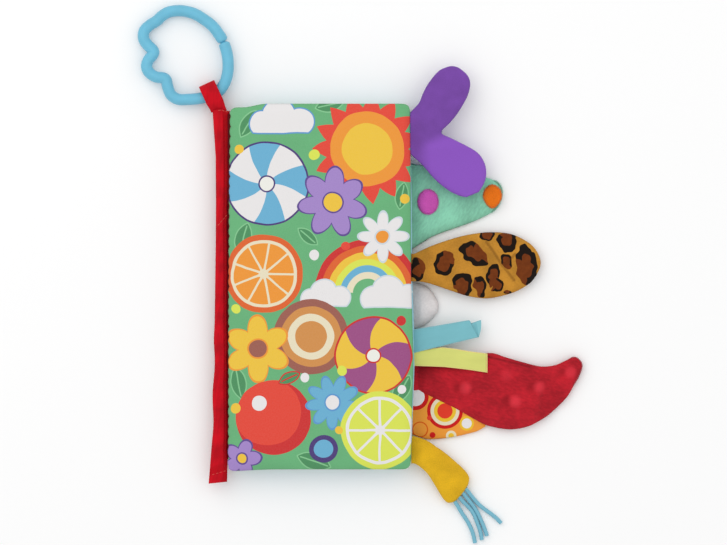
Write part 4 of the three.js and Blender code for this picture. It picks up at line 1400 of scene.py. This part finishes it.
# Tails. A row of a table gives the two edge points of one section as shares of
# the tail's reach, then its fullness and its share of the lift. TUCK is how deep
# the root is caught in the seam, and BEND where the bend starts and ends off it.
# TIP_RUN and LOFT_RUN are the last shares of a tail, over which the tip is rounded
# and the loft fades, and SAG_ROWS counts the rows over which a sag begins.
TUCK, BEND = 1.8, (-0.6, 2.2)
TIP_RUN, LOFT_RUN, SAG_ROWS = 0.16, 0.08, 7


class Tail:
    """One tail: where its root is, how big it is, and its rows of sections."""

    def __init__(self, body, parent, edge, mid_z, reach, root_y, thickness, lift, rows):
        self.body, self.parent = body, parent
        self.edge, self.mid_z = edge, mid_z
        self.reach, self.thickness, self.lift = reach, thickness, lift
        self.root = edge + ROOT_GAP, root_y
        self.rows = rows

    def bend(self):
        """The parent, this body, and the line across the seam it bends on."""
        ends = [((self.edge + off) * MM, self.root[1] * MM, self.mid_z * MM)
                for off in BEND]
        return (self.parent, self.body, *ends)

    def table(self):
        """Sections in millimetres: a point, another point, half height, middle."""
        made = []
        for *places, full, lifted in self.rows:
            a, b = np.array(places).reshape(2, 2) * self.reach + self.root
            half = SEAM_HALF + full * (self.thickness / 2 - SEAM_HALF)
            made.append([*a, *b, half, self.mid_z + lifted * self.lift])
        return made

    def form(self, name, rows, columns, roundness=2.2, tuck=TUCK, tip=0.3, edge=0.72,
             sag=0.0):
        """The tail as a closed sewn form. Its root is tucked into the seam, and
        sag is how far its rim drops to what it rests on."""
        table = self.table()
        if tuck:
            first = table[0]
            inside = [self.edge - tuck, first[1], self.edge - tuck, first[3], 0.2, self.mid_z]
            first[0] = first[2] = self.root[0]
            table = [inside, *table]
        table = through(table, rows)
        top, under = np.zeros((2, rows, columns, 3))
        ahead = np.gradient((table[:, :2] + table[:, 2:4]) / 2, axis=0)
        for r, (ax, ay, bx, by, half, middle) in enumerate(table):
            toward = ahead[r] / max(np.linalg.norm(ahead[r]), 1e-9)
            left = (rows - 1 - r) / (rows - 1)
            closing = (1 - smooth_step(left / TIP_RUN)) * tip * math.hypot(ax - bx, ay - by)
            fade = min(1, left / LOFT_RUN) ** 0.7 * math.sqrt(min(1, r / 2))
            for c, u in enumerate(np.linspace(-1, 1, columns)):
                x, y = ax + (bx - ax) * (u + 1) / 2, ay + (by - ay) * (u + 1) / 2
                x, y = (x, y) + toward * closing * (1 - u * u)
                lens = (1 - abs(u) ** roundness) ** edge * fade
                level = middle - sag * (1 - lens) * smooth_step(r / SAG_ROWS)
                top[r, c] = x * MM, y * MM, (level + half * lens) * MM
                under[r, c] = x * MM, y * MM, (level - half * lens) * MM
        return pillow(name, top, under)


TAILS = {
    "purple": Tail("purple_tail", FRONT, COVER_EDGE, FRONT_Z, 48, 98.9, 4.4, -5, [
        [0.733, -0.869, 0.9, -0.801, 0.4, 1], [0.637, -0.849, 0.971, -0.683, 0.8, 1],
        [0.495, -0.779, 1, -0.552, 0.95, 0.9], [0.316, -0.635, 0.976, -0.409, 1, 0.8],
        [0.137, -0.433, 0.887, -0.279, 1, 0.5], [-0.05, -0.256, 0.732, -0.183, 1, 0.08],
        [-0.05, -0.16, 0.54, -0.087, 0.9, 0], [-0.05, -0.013, 0.397, -0.007, 0.8, 0],
        [-0.05, 0.13, 0.507, 0.115, 0.9, 0], [-0.04, 0.232, 0.613, 0.245, 1, 0.08],
        [0.096, 0.381, 0.7, 0.385, 1, 0.35], [0.155, 0.52, 0.758, 0.506, 1, 0.55],
        [0.232, 0.66, 0.786, 0.65, 1, 0.8], [0.363, 0.816, 0.745, 0.765, 0.8, 0.9],
        [0.473, 0.868, 0.64, 0.856, 0.3, 1],
    ]),
    "leopard": Tail("leopard_tail", SPINE, MIDDLE_EDGE, MIDDLE_Z, 80.6, 12.2, 6.4, -6.4, [
        [0.004, 0.111, 0.004, -0.111, 0, 0], [0.079, 0.148, 0.079, -0.118, 0.4, 0.02],
        [0.164, 0.183, 0.164, -0.142, 0.62, 0.08], [0.301, 0.229, 0.301, -0.189, 0.82, 0.25],
        [0.438, 0.263, 0.438, -0.231, 0.95, 0.45], [0.575, 0.28, 0.575, -0.247, 1, 0.65],
        [0.712, 0.277, 0.69, -0.229, 1, 0.85], [0.815, 0.251, 0.815, -0.189, 0.95, 0.95],
        [0.917, 0.193, 0.917, -0.128, 0.75, 1], [0.972, 0.135, 0.968, -0.068, 0.45, 1],
        [1, 0.075, 1, -0.004, 0.1, 1],
    ]),
    "white": Tail("white_tail", BACK, COVER_EDGE, BACK_Z, 17.3, -12.4, 6.4, 0.5, [
        [0.066, 0.867, 0.066, -0.867, 0, 0], [0.2, 0.845, 0.2, -0.83, 0.6, 0.3],
        [0.4, 0.79, 0.4, -0.76, 1, 1], [0.646, 0.657, 0.646, -0.598, 0.92, 0.8],
        [0.867, 0.399, 0.867, -0.376, 0.5, 0], [1, 0.103, 1, -0.192, -0.1, -1.4],
    ]),
    "red": Tail("red_tail", BACK, COVER_EDGE, BACK_Z, 108.9, -58.7, 6.6, 1.3, [
        [0.011, 0.069, 0.011, -0.069, 0, 0], [0.05, 0.077, 0.052, -0.086, 0.3, 0.6],
        [0.097, 0.085, 0.101, -0.104, 0.6, 1], [0.185, 0.101, 0.185, -0.144, 0.85, 1],
        [0.27, 0.116, 0.27, -0.185, 0.95, 1], [0.367, 0.134, 0.355, -0.234, 1, 1],
        [0.472, 0.147, 0.438, -0.278, 1, 0.9], [0.555, 0.122, 0.52, -0.298, 1, 0.7],
        [0.649, 0.095, 0.602, -0.304, 1, 0.5], [0.759, 0.068, 0.691, -0.286, 1, 0.4],
        [0.843, 0.074, 0.761, -0.251, 0.95, 0.4], [0.91, 0.102, 0.826, -0.206, 0.85, 0.5],
        [0.957, 0.121, 0.919, -0.113, 0.7, 0.8], [0.985, 0.1, 0.972, -0.02, 0.4, 1.2],
    ]),
    "orange": Tail("orange_tail", BACK, COVER_EDGE, BACK_Z, 48.2, -81.7, 2.6, -1.2, [
        [0.024, 0.34, 0.024, -0.274, 0, 0], [0.1, 0.352, 0.1, -0.31, 0.6, 0.7],
        [0.219, 0.33, 0.21, -0.341, 1, 1], [0.405, 0.22, 0.405, -0.334, 1, 1],
        [0.61, 0.1, 0.61, -0.303, 1, 1], [0.75, 0.018, 0.75, -0.27, 1, 1],
        [0.876, -0.058, 0.876, -0.236, 0.9, 1], [0.98, -0.105, 0.98, -0.18, 0.5, 1],
    ]),
    "green": Tail("green_tail", BACK, COVER_EDGE, BACK_Z, 57.8, 51.3, 4.6, -0.4, [
        [0.02, 0.476, 0.02, -0.476, 0, 0], [0.12, 0.457, 0.122, -0.4, 0.8, 0.2],
        [0.238, 0.437, 0.244, -0.329, 1, 0.5], [0.426, 0.402, 0.426, -0.26, 1, 0.8],
        [0.615, 0.365, 0.615, -0.196, 1, 1], [0.759, 0.338, 0.759, -0.136, 1, 1],
        [0.869, 0.313, 0.88, -0.074, 0.85, 1.4], [0.947, 0.275, 0.947, -0.013, 0.5, 2.2],
        [0.975, 0.25, 0.972, 0.03, 0, 3],
    ]),
    "yellow": Tail("yellow_tail", SPINE, MIDDLE_EDGE, MIDDLE_Z, 34.4, -104.8, 6, -6.6, [
        [0.02, 0.256, 0.02, -0.256, 0, 0], [0.232, 0.176, 0.119, -0.33, 0.6, 0.12],
        [0.418, 0.05, 0.253, -0.46, 0.85, 0.35], [0.588, -0.07, 0.387, -0.672, 1, 0.6],
        [0.76, -0.218, 0.472, -0.813, 1, 0.8], [0.915, -0.36, 0.546, -0.927, 1, 0.95],
        [1.02, -0.505, 0.626, -0.993, 1, 1],
        [1.012, -0.64, 0.742, -0.981, 0.9, 1.02],
    ]),
    "blue": Tail("blue_ribbon", SPINE, MIDDLE_EDGE, MIDDLE_Z, 42, -34.8, 2.4, -2.2, [
        [0.01, 0.177, 0.01, -0.181, 0, 0], [0.272, 0.219, 0.272, -0.116, 0.6, 0.25],
        [0.562, 0.269, 0.562, -0.046, 0.9, 0.6], [0.782, 0.307, 0.76, 0.001, 1, 0.85],
        [0.837, 0.315, 0.972, 0.052, 1, 0.94], [1.014, 0.317, 0.978, 0.052, 1, 1],
    ]),
    "lime": Tail("lime_ribbon", SPINE, MIDDLE_EDGE, MIDDLE_Z, 46.7, -46.9, 1.8, -1.4, [
        [0.015, 0.11, 0.015, -0.086, 0, 0.1], [0.1, 0.13, 0.1, -0.09, 0.4, 0.5],
        [0.246, 0.156, 0.246, -0.095, 0.7, 0.9], [0.385, 0.17, 0.41, -0.102, 0.8, 1.1],
        [0.575, 0.147, 0.575, -0.12, 1, 1.1], [0.756, 0.115, 0.756, -0.142, 1, 1],
        [0.985, 0.086, 0.985, -0.177, 1, 1], [1, 0.084, 1, -0.179, 1, 1],
    ]),
}


def grow_pile(name, base, count, size, lean, seed, share=0.06, steep=0.6):
    """Separate hairs, each a thin closed spike, on the sides of a form, where
    they stand out against what lies behind."""
    chooser = random.Random(seed)
    mesh = base.data
    mesh.calc_loop_triangles()
    triangles = [t for t in mesh.loop_triangles if abs(t.normal.z) < steep]
    areas = np.cumsum([t.area for t in triangles])
    points, faces = [], []
    lean = Vector(lean)
    for _ in range(count):
        pick = triangles[int(np.searchsorted(areas, chooser.random() * areas[-1]))]
        a, b, c = (mesh.vertices[i].co for i in pick.vertices)
        s, t = chooser.random(), chooser.random()
        if s + t > 1:
            s, t = 1 - s, 1 - t
        foot = a + (b - a) * s + (c - a) * t
        drift = Vector((chooser.gauss(0, 0.5), chooser.gauss(0, 0.5), chooser.gauss(0, 0.3)))
        way = (pick.normal + lean + drift).normalized()
        tall = size * chooser.uniform(0.35, 1.1)
        side = way.orthogonal().normalized() * size * share
        turn = Matrix.Rotation(2 * math.pi / 3, 3, way)
        start = len(points)
        for _ in range(3):
            points.append(foot - pick.normal * size * 0.1 + side)
            side = turn @ side
        points.append(foot + way * tall)
        faces += [[start, start + 1, start + 3], [start + 1, start + 2, start + 3],
                  [start + 2, start, start + 3], [start + 2, start + 1, start]]
    return add_mesh(name, points, faces)


def add_pile(name, base, tint, body, slot, *args, **kwargs):
    hair = grow_pile(name, base, *args, **kwargs)
    lay_plan(hair)
    settle(hair, make_fuzz_finish(name, tint), body, slot)


def sew_tail(key, cloth, rows, columns, cap, spare=0.04, **shape):
    """A tail's form, laid out flat, filled as far as a cap and smoothed."""
    piece = TAILS[key].form(f"{key}_tail_{cloth}", rows, columns, **shape)
    lay_plan(piece)
    puff(piece, cap, spare=spare)
    subdivide(piece)
    return piece


def settle_plush(piece, key, material, fill):
    """Settles a tail that stands for two cloths and the stuffing between them."""
    nodes = [f"{key}_tail_{part}" for part in ("front_cloth", "stuffing", "back_cloth")]
    settle(piece, material, TAILS[key].bend(), f"{key}_plush", *nodes, fill=fill)


# How flat the felt is pressed at the seam, how far its middle drops there, and
# over what width it comes back.
FELT_PRESS, FELT_DROP, FELT_RUN = 0.12, 0.35, 8


class MakePurpleTail(bpy.types.Operator):
    """Make the two-lobed felt tail on the front cover"""

    bl_idname = "cloth_book.purple_tail"
    bl_label = "Purple felt tail"

    def execute(self, context):
        sizes, tints = chosen(context)
        tail = TAILS["purple"]
        piece = tail.form("purple_felt_lobes", 70, 19, roundness=6, tuck=0, tip=0.12)
        puff(piece, sizes.puff_cap / 4)
        subdivide(piece)
        points = coordinates(piece.data)
        out = np.clip((points[:, 0] / MM - tail.edge + 0.4) / FELT_RUN, 0, 1)
        pressed = FELT_PRESS + (1 - FELT_PRESS) * out * out * (3 - 2 * out)
        seam = (tail.mid_z - FELT_DROP * (1 - out)) * MM
        points[:, 2] = seam + (points[:, 2] - tail.mid_z * MM) * pressed
        move_points(piece, points)
        lay_plan(piece)
        felt = make_felt_finish(tints.purple)
        settle(piece, felt, tail.bend(), "purple_felt", "purple_felt_tail", fill=0.2)
        return {"FINISHED"}


class MakeLeopardTail(bpy.types.Operator):
    """Make the leopard plush tail on the middle leaf"""

    bl_idname = "cloth_book.leopard_tail"
    bl_label = "Leopard tail"

    def execute(self, context):
        sizes, tints = chosen(context)
        piece = sew_tail("leopard", "plush", 56, 25, sizes.puff_cap, spare=0.07, tip=0.08)
        settle_plush(piece, "leopard", make_leopard_finish(tints.leopard), 0.5)
        return {"FINISHED"}


class MakeWhiteTail(bpy.types.Operator):
    """Make the round white plush tail on the back cover"""

    bl_idname = "cloth_book.white_tail"
    bl_label = "White tail"

    def execute(self, context):
        sizes, tints = chosen(context)
        piece = sew_tail("white", "plush", 24, 31, sizes.puff_cap, tip=0.03, edge=0.95,
                         sag=1.6)
        plush = make_pile_finish("white_plush", tints.white, 0.94, 1.04, scale=0.7)
        settle_plush(piece, "white", plush, 0.6)
        return {"FINISHED"}


# A red bump's crown, and the dimple as far to its left as DIMPLE_LEFT.
CROWN_RISE, CROWN_REACH = 2.2, 3.1
DIMPLE_DROP, DIMPLE_REACH, DIMPLE_LEFT = 1.3, 3.0, 4.6


class MakeRedTail(bpy.types.Operator):
    """Make the dimpled red plush tail on the back cover"""

    bl_idname = "cloth_book.red_tail"
    bl_label = "Red tail"

    def execute(self, context):
        sizes, tints = chosen(context)
        tail = TAILS["red"]
        piece = sew_tail("red", "plush", 90, 29, sizes.puff_cap, spare=0.05)
        points = coordinates(piece.data)
        right, up = points[:, 0] / MM, points[:, 1] / MM
        upper = np.clip((points[:, 2] / MM - tail.mid_z - 1.2) / 1.5, 0, 1)
        for x, y, tall in RED_BUMPS:
            crown = bell(np.hypot(right - x, up - y) / CROWN_REACH)
            dimple = bell(np.hypot(right - x + DIMPLE_LEFT, up - y) / DIMPLE_REACH)
            rise = CROWN_RISE * crown - DIMPLE_DROP * dimple
            points[:, 2] += rise * tall * upper * MM
        move_points(piece, points)
        settle_plush(piece, "red", make_red_finish(tints.red), 0.5)
        add_pile("red_tail_pile", piece, tints.red, tail.bend(), "red_plush",
                 4200, sizes.short_pile, (0.5, -0.3, 0), 7)
        return {"FINISHED"}


class MakeOrangeTail(bpy.types.Operator):
    """Make the printed orange tail under the red one"""

    bl_idname = "cloth_book.orange_tail"
    bl_label = "Orange print tail"

    def execute(self, context):
        tail = TAILS["orange"]
        piece = tail.form("orange_tail_cloth", 44, 23, roundness=6, tip=0.2)
        subdivide(piece)
        lay_plan(piece)
        cloth = make_dot_print(chosen(context)[1].amber)
        settle(piece, cloth, tail.bend(), "orange_print", "orange_print_tail", fill=0.15)
        return {"FINISHED"}


# A spot's colour, its centre and its width and height as shares of the tail's
# reach, and how pointed its lower end is.
SPOTS = [
    ("magenta", (0.188, 0.052), (0.24, 0.29), 0),
    ("orange", (0.902, 0.112), (0.212, 0.262), 0.3),
]
SPOT_RINGS, SPOT_TURNS = 12, 72


class MakeGreenTail(bpy.types.Operator):
    """Make the green fleece tail with its two pile spots"""

    bl_idname = "cloth_book.green_tail"
    bl_label = "Green tail and spots"

    def execute(self, context):
        sizes, tints = chosen(context)
        tail = TAILS["green"]
        piece = tail.form("green_tail_fleece", 44, 29, roundness=4, tip=0.16, edge=0.9,
                          sag=0.9)
        subdivide(piece)
        lay_plan(piece)
        fleece = make_pile_finish("green_fleece", tints.green, 0.88, 1.06, scale=0.75,
                                  long=2.4, lean=62)
        settle(piece, fleece, tail.bend(), "green_fleece", "green_fleece_tail", fill=0.2)
        add_pile("green_tail_pile", piece, tints.green, tail.bend(), "green_fleece",
                 2600, sizes.long_pile, (0, 0, 0.5), 5)
        for tint, centre, size, pointed in SPOTS:
            self.spot(tail, tint, getattr(tints, tint), centre, size, pointed, sizes)
        return {"FINISHED"}

    def spot(self, tail, key, tint, centre, size, pointed, sizes):
        name, slot = f"{key}_spot", f"{key}_pile"
        cx, cy = tail.root + np.array(centre) * tail.reach
        rx, ry = np.array(size) / 2 * tail.reach
        low, high = (corner.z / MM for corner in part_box(name))
        points = []
        for ring in range(SPOT_RINGS):
            share = math.sin(math.pi / 2 * ring / (SPOT_RINGS - 1))
            height = low + 0.05 + (high - low) * (1 - share**4) ** 0.6
            for k in range(SPOT_TURNS):
                c, s = cos_sin(360 * k / SPOT_TURNS)
                out = share * (1 + wander((c * 0.02, s * 0.02), 0.03, 0.003))
                narrow = 1 - pointed * max(0, -s) ** 1.3
                points.append(((cx + rx * out * c * narrow) * MM, (cy + ry * out * s) * MM,
                               height * MM))
        faces = tube_faces(SPOT_RINGS, SPOT_TURNS)
        piece = add_closed(f"{name}_pile_cloth", points, faces, merge=MERGE)
        lay_plan(piece)
        pile = make_pile_finish(slot, tint, 0.9, 1.1, scale=1.3)
        settle(piece, pile, tail.body, slot, name)
        add_pile(f"{name}_tufts", piece, tint, tail.body, slot, 1500,
                 sizes.short_pile, (0, 0, 0), 3, steep=0.9)


class MakeYellowTail(bpy.types.Operator):
    """Make the yellow velour tail that the strings come out of"""

    bl_idname = "cloth_book.yellow_tail"
    bl_label = "Yellow tail"

    def execute(self, context):
        sizes, tints = chosen(context)
        piece = sew_tail("yellow", "velour", 44, 21, sizes.puff_cap / 2, tip=0.05)
        velour = make_pile_finish("yellow_velour", tints.yellow, 0.9, 1.08, scale=1.5,
                                  depth=0.25)
        settle(piece, velour, TAILS["yellow"].bend(), "yellow_velour",
               "yellow_velour_tail", fill=0.4)
        return {"FINISHED"}


STRING_ROUTES = [
    [(86.2, -137.9, 3.4), (88.6, -141.8, 2.6), (91.4, -146.4, 1.45), (94.2, -150.6, 1.35),
     (96.6, -155.2, 1.35), (98.2, -159.6, 1.35), (99.4, -165, 1.35)],
    [(88.9, -135, 3.4), (92, -138.6, 2.6), (95.6, -142.2, 1.45), (98.6, -146.4, 1.35),
     (100.6, -151.4, 1.35), (102.6, -157, 1.35), (103.8, -163, 1.35)],
    [(91.3, -132.4, 3.4), (94.4, -136.2, 2.6), (97.9, -140.6, 1.45), (101, -145.6, 1.35),
     (103.4, -150.8, 1.35), (105.6, -156, 1.35), (107, -160.4, 1.35)],
    [(93.1, -129.8, 3.4), (96, -133.4, 2.6), (99.4, -137.6, 1.45), (103.2, -141.4, 1.35),
     (108, -145, 1.35), (112.4, -148.4, 1.35), (116.2, -152.2, 1.35)],
]


class MakeStrings(bpy.types.Operator):
    """Make the four strings that come out of the yellow tail's end"""

    bl_idname = "cloth_book.strings"
    bl_label = "Strings"

    def execute(self, context):
        sizes, tints = chosen(context)
        braid = make_string_finish(tints.string)
        for number, route in enumerate(STRING_ROUTES, 1):
            line = through(route, 31) * MM
            curve = bpy.data.curves.new(f"yellow_tail_cord_{number}", "CURVE")
            curve.dimensions = "3D"
            curve.bevel_depth = sizes.string / 2
            curve.bevel_resolution = 5
            curve.use_fill_caps = True
            spline = curve.splines.new("POLY")
            spline.points.add(len(line) - 1)
            for point, place in zip(spline.points, line):
                point.co = (*place, 1)
            piece = bpy.data.objects.new(curve.name, curve)
            context.scene.collection.objects.link(piece)
            settle(piece, braid, "yellow_tail", "string_cord", f"yellow_tail_string_{number}")
        return {"FINISHED"}


# NOTCH moves the first edge point of a fold that lies askew, to the right and up.
RIBBON_STEPS, RIBBON_COLUMNS, RIBBON_CLOTH = 56, 13, 0.4
FOLD_STEPS, NOTCH = 15, (0.9, -2.2)


def ribbon_rows(tail, askew):
    """Rows of a ribbon laid double, from the seam along its top, over the fold
    and back below, each with its side and its share of the fold's bulge. A side
    of 1 is the top layer and -1 the under one."""
    table = np.array(tail.table())
    inside = table[0].copy()
    inside[0] = inside[2] = tail.edge - TUCK
    table = np.vstack([inside, table])

    def rows(table, shares):
        at = np.arange(len(table))
        return [np.array([np.interp(s * at[-1], at, table[:, k]) for k in range(6)])
                for s in shares]

    top, under = table[:-1], np.vstack([table[:-2], table[-1:]])
    under[-3:-1, 1] -= askew
    made = [(row, 1.0, 0) for row in rows(top, np.linspace(0, 1, RIBBON_STEPS))]
    notch = top[-1].copy()
    if askew:
        notch[:2] += NOTCH
    for t in np.linspace(0, 1, FOLD_STEPS)[1:]:
        near = notch if t < 0.1 else notch * (1 - t) + under[-1] * t
        made.append((near, 1 - 1.5 * smooth_step(t * 3), t))
    made += [(under[-1], -0.8, 1)]
    made += [(row, -1.0, max(0, 1 - i / 8)) for i, row in
             enumerate(rows(under, np.linspace(0.995, 0, RIBBON_STEPS)))]
    return made


def fold_ribbon(tail, name, width, askew):
    """A ribbon that runs out from the seam, folds over and comes back below, with
    its flat length and the place of its fold."""
    grid, flat = [], []
    along, last, fold = 0.0, None, 0.0
    made = ribbon_rows(tail, askew)
    for row, side, bulge in made:
        ax, ay, bx, by, half, middle = row
        level = middle + max(0.25, half - RIBBON_CLOTH / 2) * side
        centre = np.array([(ax + bx) / 2, (ay + by) / 2, level])
        along += 0 if last is None else float(np.linalg.norm(centre - last))
        last = centre
        fold = along if side >= -0.8 else fold
        for u in np.linspace(0, 1, RIBBON_COLUMNS):
            x, y = ax + (bx - ax) * u, ay + (by - ay) * u
            x += bulge * askew * 0.25 * math.sin(math.pi * u)
            lift = wander((x * MM, y * MM + side), 0.12, 0.012)
            grid.append((x * MM, y * MM, (level + lift) * MM))
            flat.append((u * width, along * MM))
    piece = add_mesh(name, grid, grid_faces(len(made), RIBBON_COLUMNS))
    lay_plan(piece, flat)
    apply_modifier(piece, "SOLIDIFY", thickness=RIBBON_CLOTH * MM, offset=0)
    return piece, along * MM, fold


class MakeRibbons(bpy.types.Operator):
    """Make the blue and the lime ribbon, each folded into a loop"""

    bl_idname = "cloth_book.ribbons"
    bl_label = "Ribbons"

    def execute(self, context):
        tints = chosen(context)[1]
        rows = (("blue", tints.blue, 0.0125, 2.8, (0.54, 0.78, 0.81)),
                ("lime", tints.lime, 0.0112, 0, (0.97, 0.88, 0.58)))
        for key, tint, width, askew, selvage in rows:
            tail = TAILS[key]
            piece, long, fold = fold_ribbon(tail, f"{key}_ribbon_weave", width, askew)
            woven = make_ribbon_finish(f"{key}_ribbon", tint, width / MM, fold, selvage)
            settle(piece, woven, tail.bend(), f"{key}_ribbon", f"{key}_ribbon_loop")
        return {"FINISHED"}


# Stage


# The photo's width at the cover's height and the middle of its view; the lamps'
# places, sizes and energies in metres and watts.
PHOTO_MM = 465.3
VIEW_CENTRE = (27.65, 8.96)
LENS = 280
LAMPS = [
    ("key_light", (-0.5, 0.5, 1.0), 1.3, 3.6), ("fill_light", (0.75, 0.1, 1.0), 1.2, 1.2),
]
LAMP_AIM = Vector((0.02, 0, 0))
FLOOR_HALF, FLOOR_Z = 4.0, -0.0003
SOFT_STRENGTH = 0.8
PAPER, WHITE = (0.86, 0.86, 0.86, 1), (1, 1, 1, 1)


class MakeStage(bpy.types.Operator):
    """Make the camera over the book, the soft lights and the white floor"""

    bl_idname = "cloth_book.stage"
    bl_label = "Stage"

    def execute(self, context):
        scene = context.scene
        camera = bpy.data.objects.new("camera", bpy.data.cameras.new("camera"))
        scene.collection.objects.link(camera)
        camera.data.lens = LENS
        away = PHOTO_MM * LENS / camera.data.sensor_width
        camera.location = (VIEW_CENTRE[0] * MM, VIEW_CENTRE[1] * MM, (FRONT_Z + away) * MM)
        camera.data.clip_start, camera.data.clip_end = 0.05, 20
        scene.camera = camera
        for name, place, size, energy in LAMPS:
            lamp = bpy.data.objects.new(name, bpy.data.lights.new(name, "AREA"))
            lamp.data.size, lamp.data.energy = size, energy
            lamp.location = place
            aim = LAMP_AIM - lamp.location
            lamp.rotation_euler = aim.to_track_quat("-Z", "Y").to_euler()
            scene.collection.objects.link(lamp)
        self.make_world(scene)
        self.make_floor()
        scene.view_settings.view_transform = "Standard"
        return {"FINISHED"}

    def make_world(self, scene):
        """Soft light all round, and white to the camera."""
        scene.world = bpy.data.worlds.new("studio")
        nodes = Nodes(scene.world)
        soft, seen = (nodes.node("Background", {"Color": WHITE, "Strength": strength})
                      for strength in (SOFT_STRENGTH, 1.0))
        camera_ray = nodes.node("LightPath")
        mixed = nodes.node("MixShader", {0: camera_ray, 1: soft, 2: seen})
        nodes.node("OutputWorld", {"Surface": mixed})

    def make_floor(self):
        """White paper to camera, glossy and transmitted rays, and grey to others."""
        corners = [(x * FLOOR_HALF, y * FLOOR_HALF, FLOOR_Z)
                   for x, y in ((-1, -1), (1, -1), (1, 1), (-1, 1))]
        floor = add_mesh("floor", corners, [[0, 1, 2, 3]])
        finish = Finish("floor_paper", flat=False, Roughness=1.0, Specular_IOR_Level=0.0)
        rays = [finish.node("LightPath", output=i) for i in (0, 3, 6)]
        direct = functools.reduce(Socket.most, rays)
        floor.data.materials.append(finish.done(finish.mix(direct, PAPER, WHITE)))


class BookPanel(bpy.types.Panel):
    """Lists the operators and the sizes and colours they read"""

    bl_idname = "VIEW3D_PT_cloth_book"
    bl_label = "Cloth book"
    bl_space_type = "VIEW_3D"
    bl_region_type = "UI"
    bl_category = "Cloth book"

    def draw(self, context):
        for group in chosen(context):
            box = self.layout.box()
            for name in group.__annotations__:
                box.prop(group, name)
        for operator in OPERATORS:
            self.layout.operator(operator.bl_idname)


OPERATORS = [
    MakeStage, MakeStrings, MakeLeaves, MakeHingeCloths, MakeBinding, MakeStrap, MakeRing,
    MakePurpleTail, MakeLeopardTail, MakeWhiteTail, MakeRedTail, MakeOrangeTail,
    MakeGreenTail, MakeYellowTail, MakeRibbons,
]
CLASSES = [BookSizes, BookColours, *OPERATORS, BookPanel]


def register():
    for item in CLASSES:
        bpy.utils.register_class(item)
    bpy.types.Scene.book_sizes = bpy.props.PointerProperty(type=BookSizes)
    bpy.types.Scene.book_colours = bpy.props.PointerProperty(type=BookColours)


def unregister():
    del bpy.types.Scene.book_colours
    del bpy.types.Scene.book_sizes
    for item in reversed(CLASSES):
        bpy.utils.unregister_class(item)


def main():
    register()
    for operator in OPERATORS:
        group, name = operator.bl_idname.split(".")
        getattr(getattr(bpy.ops, group), name)()


if __name__ == "__main__":
    main()
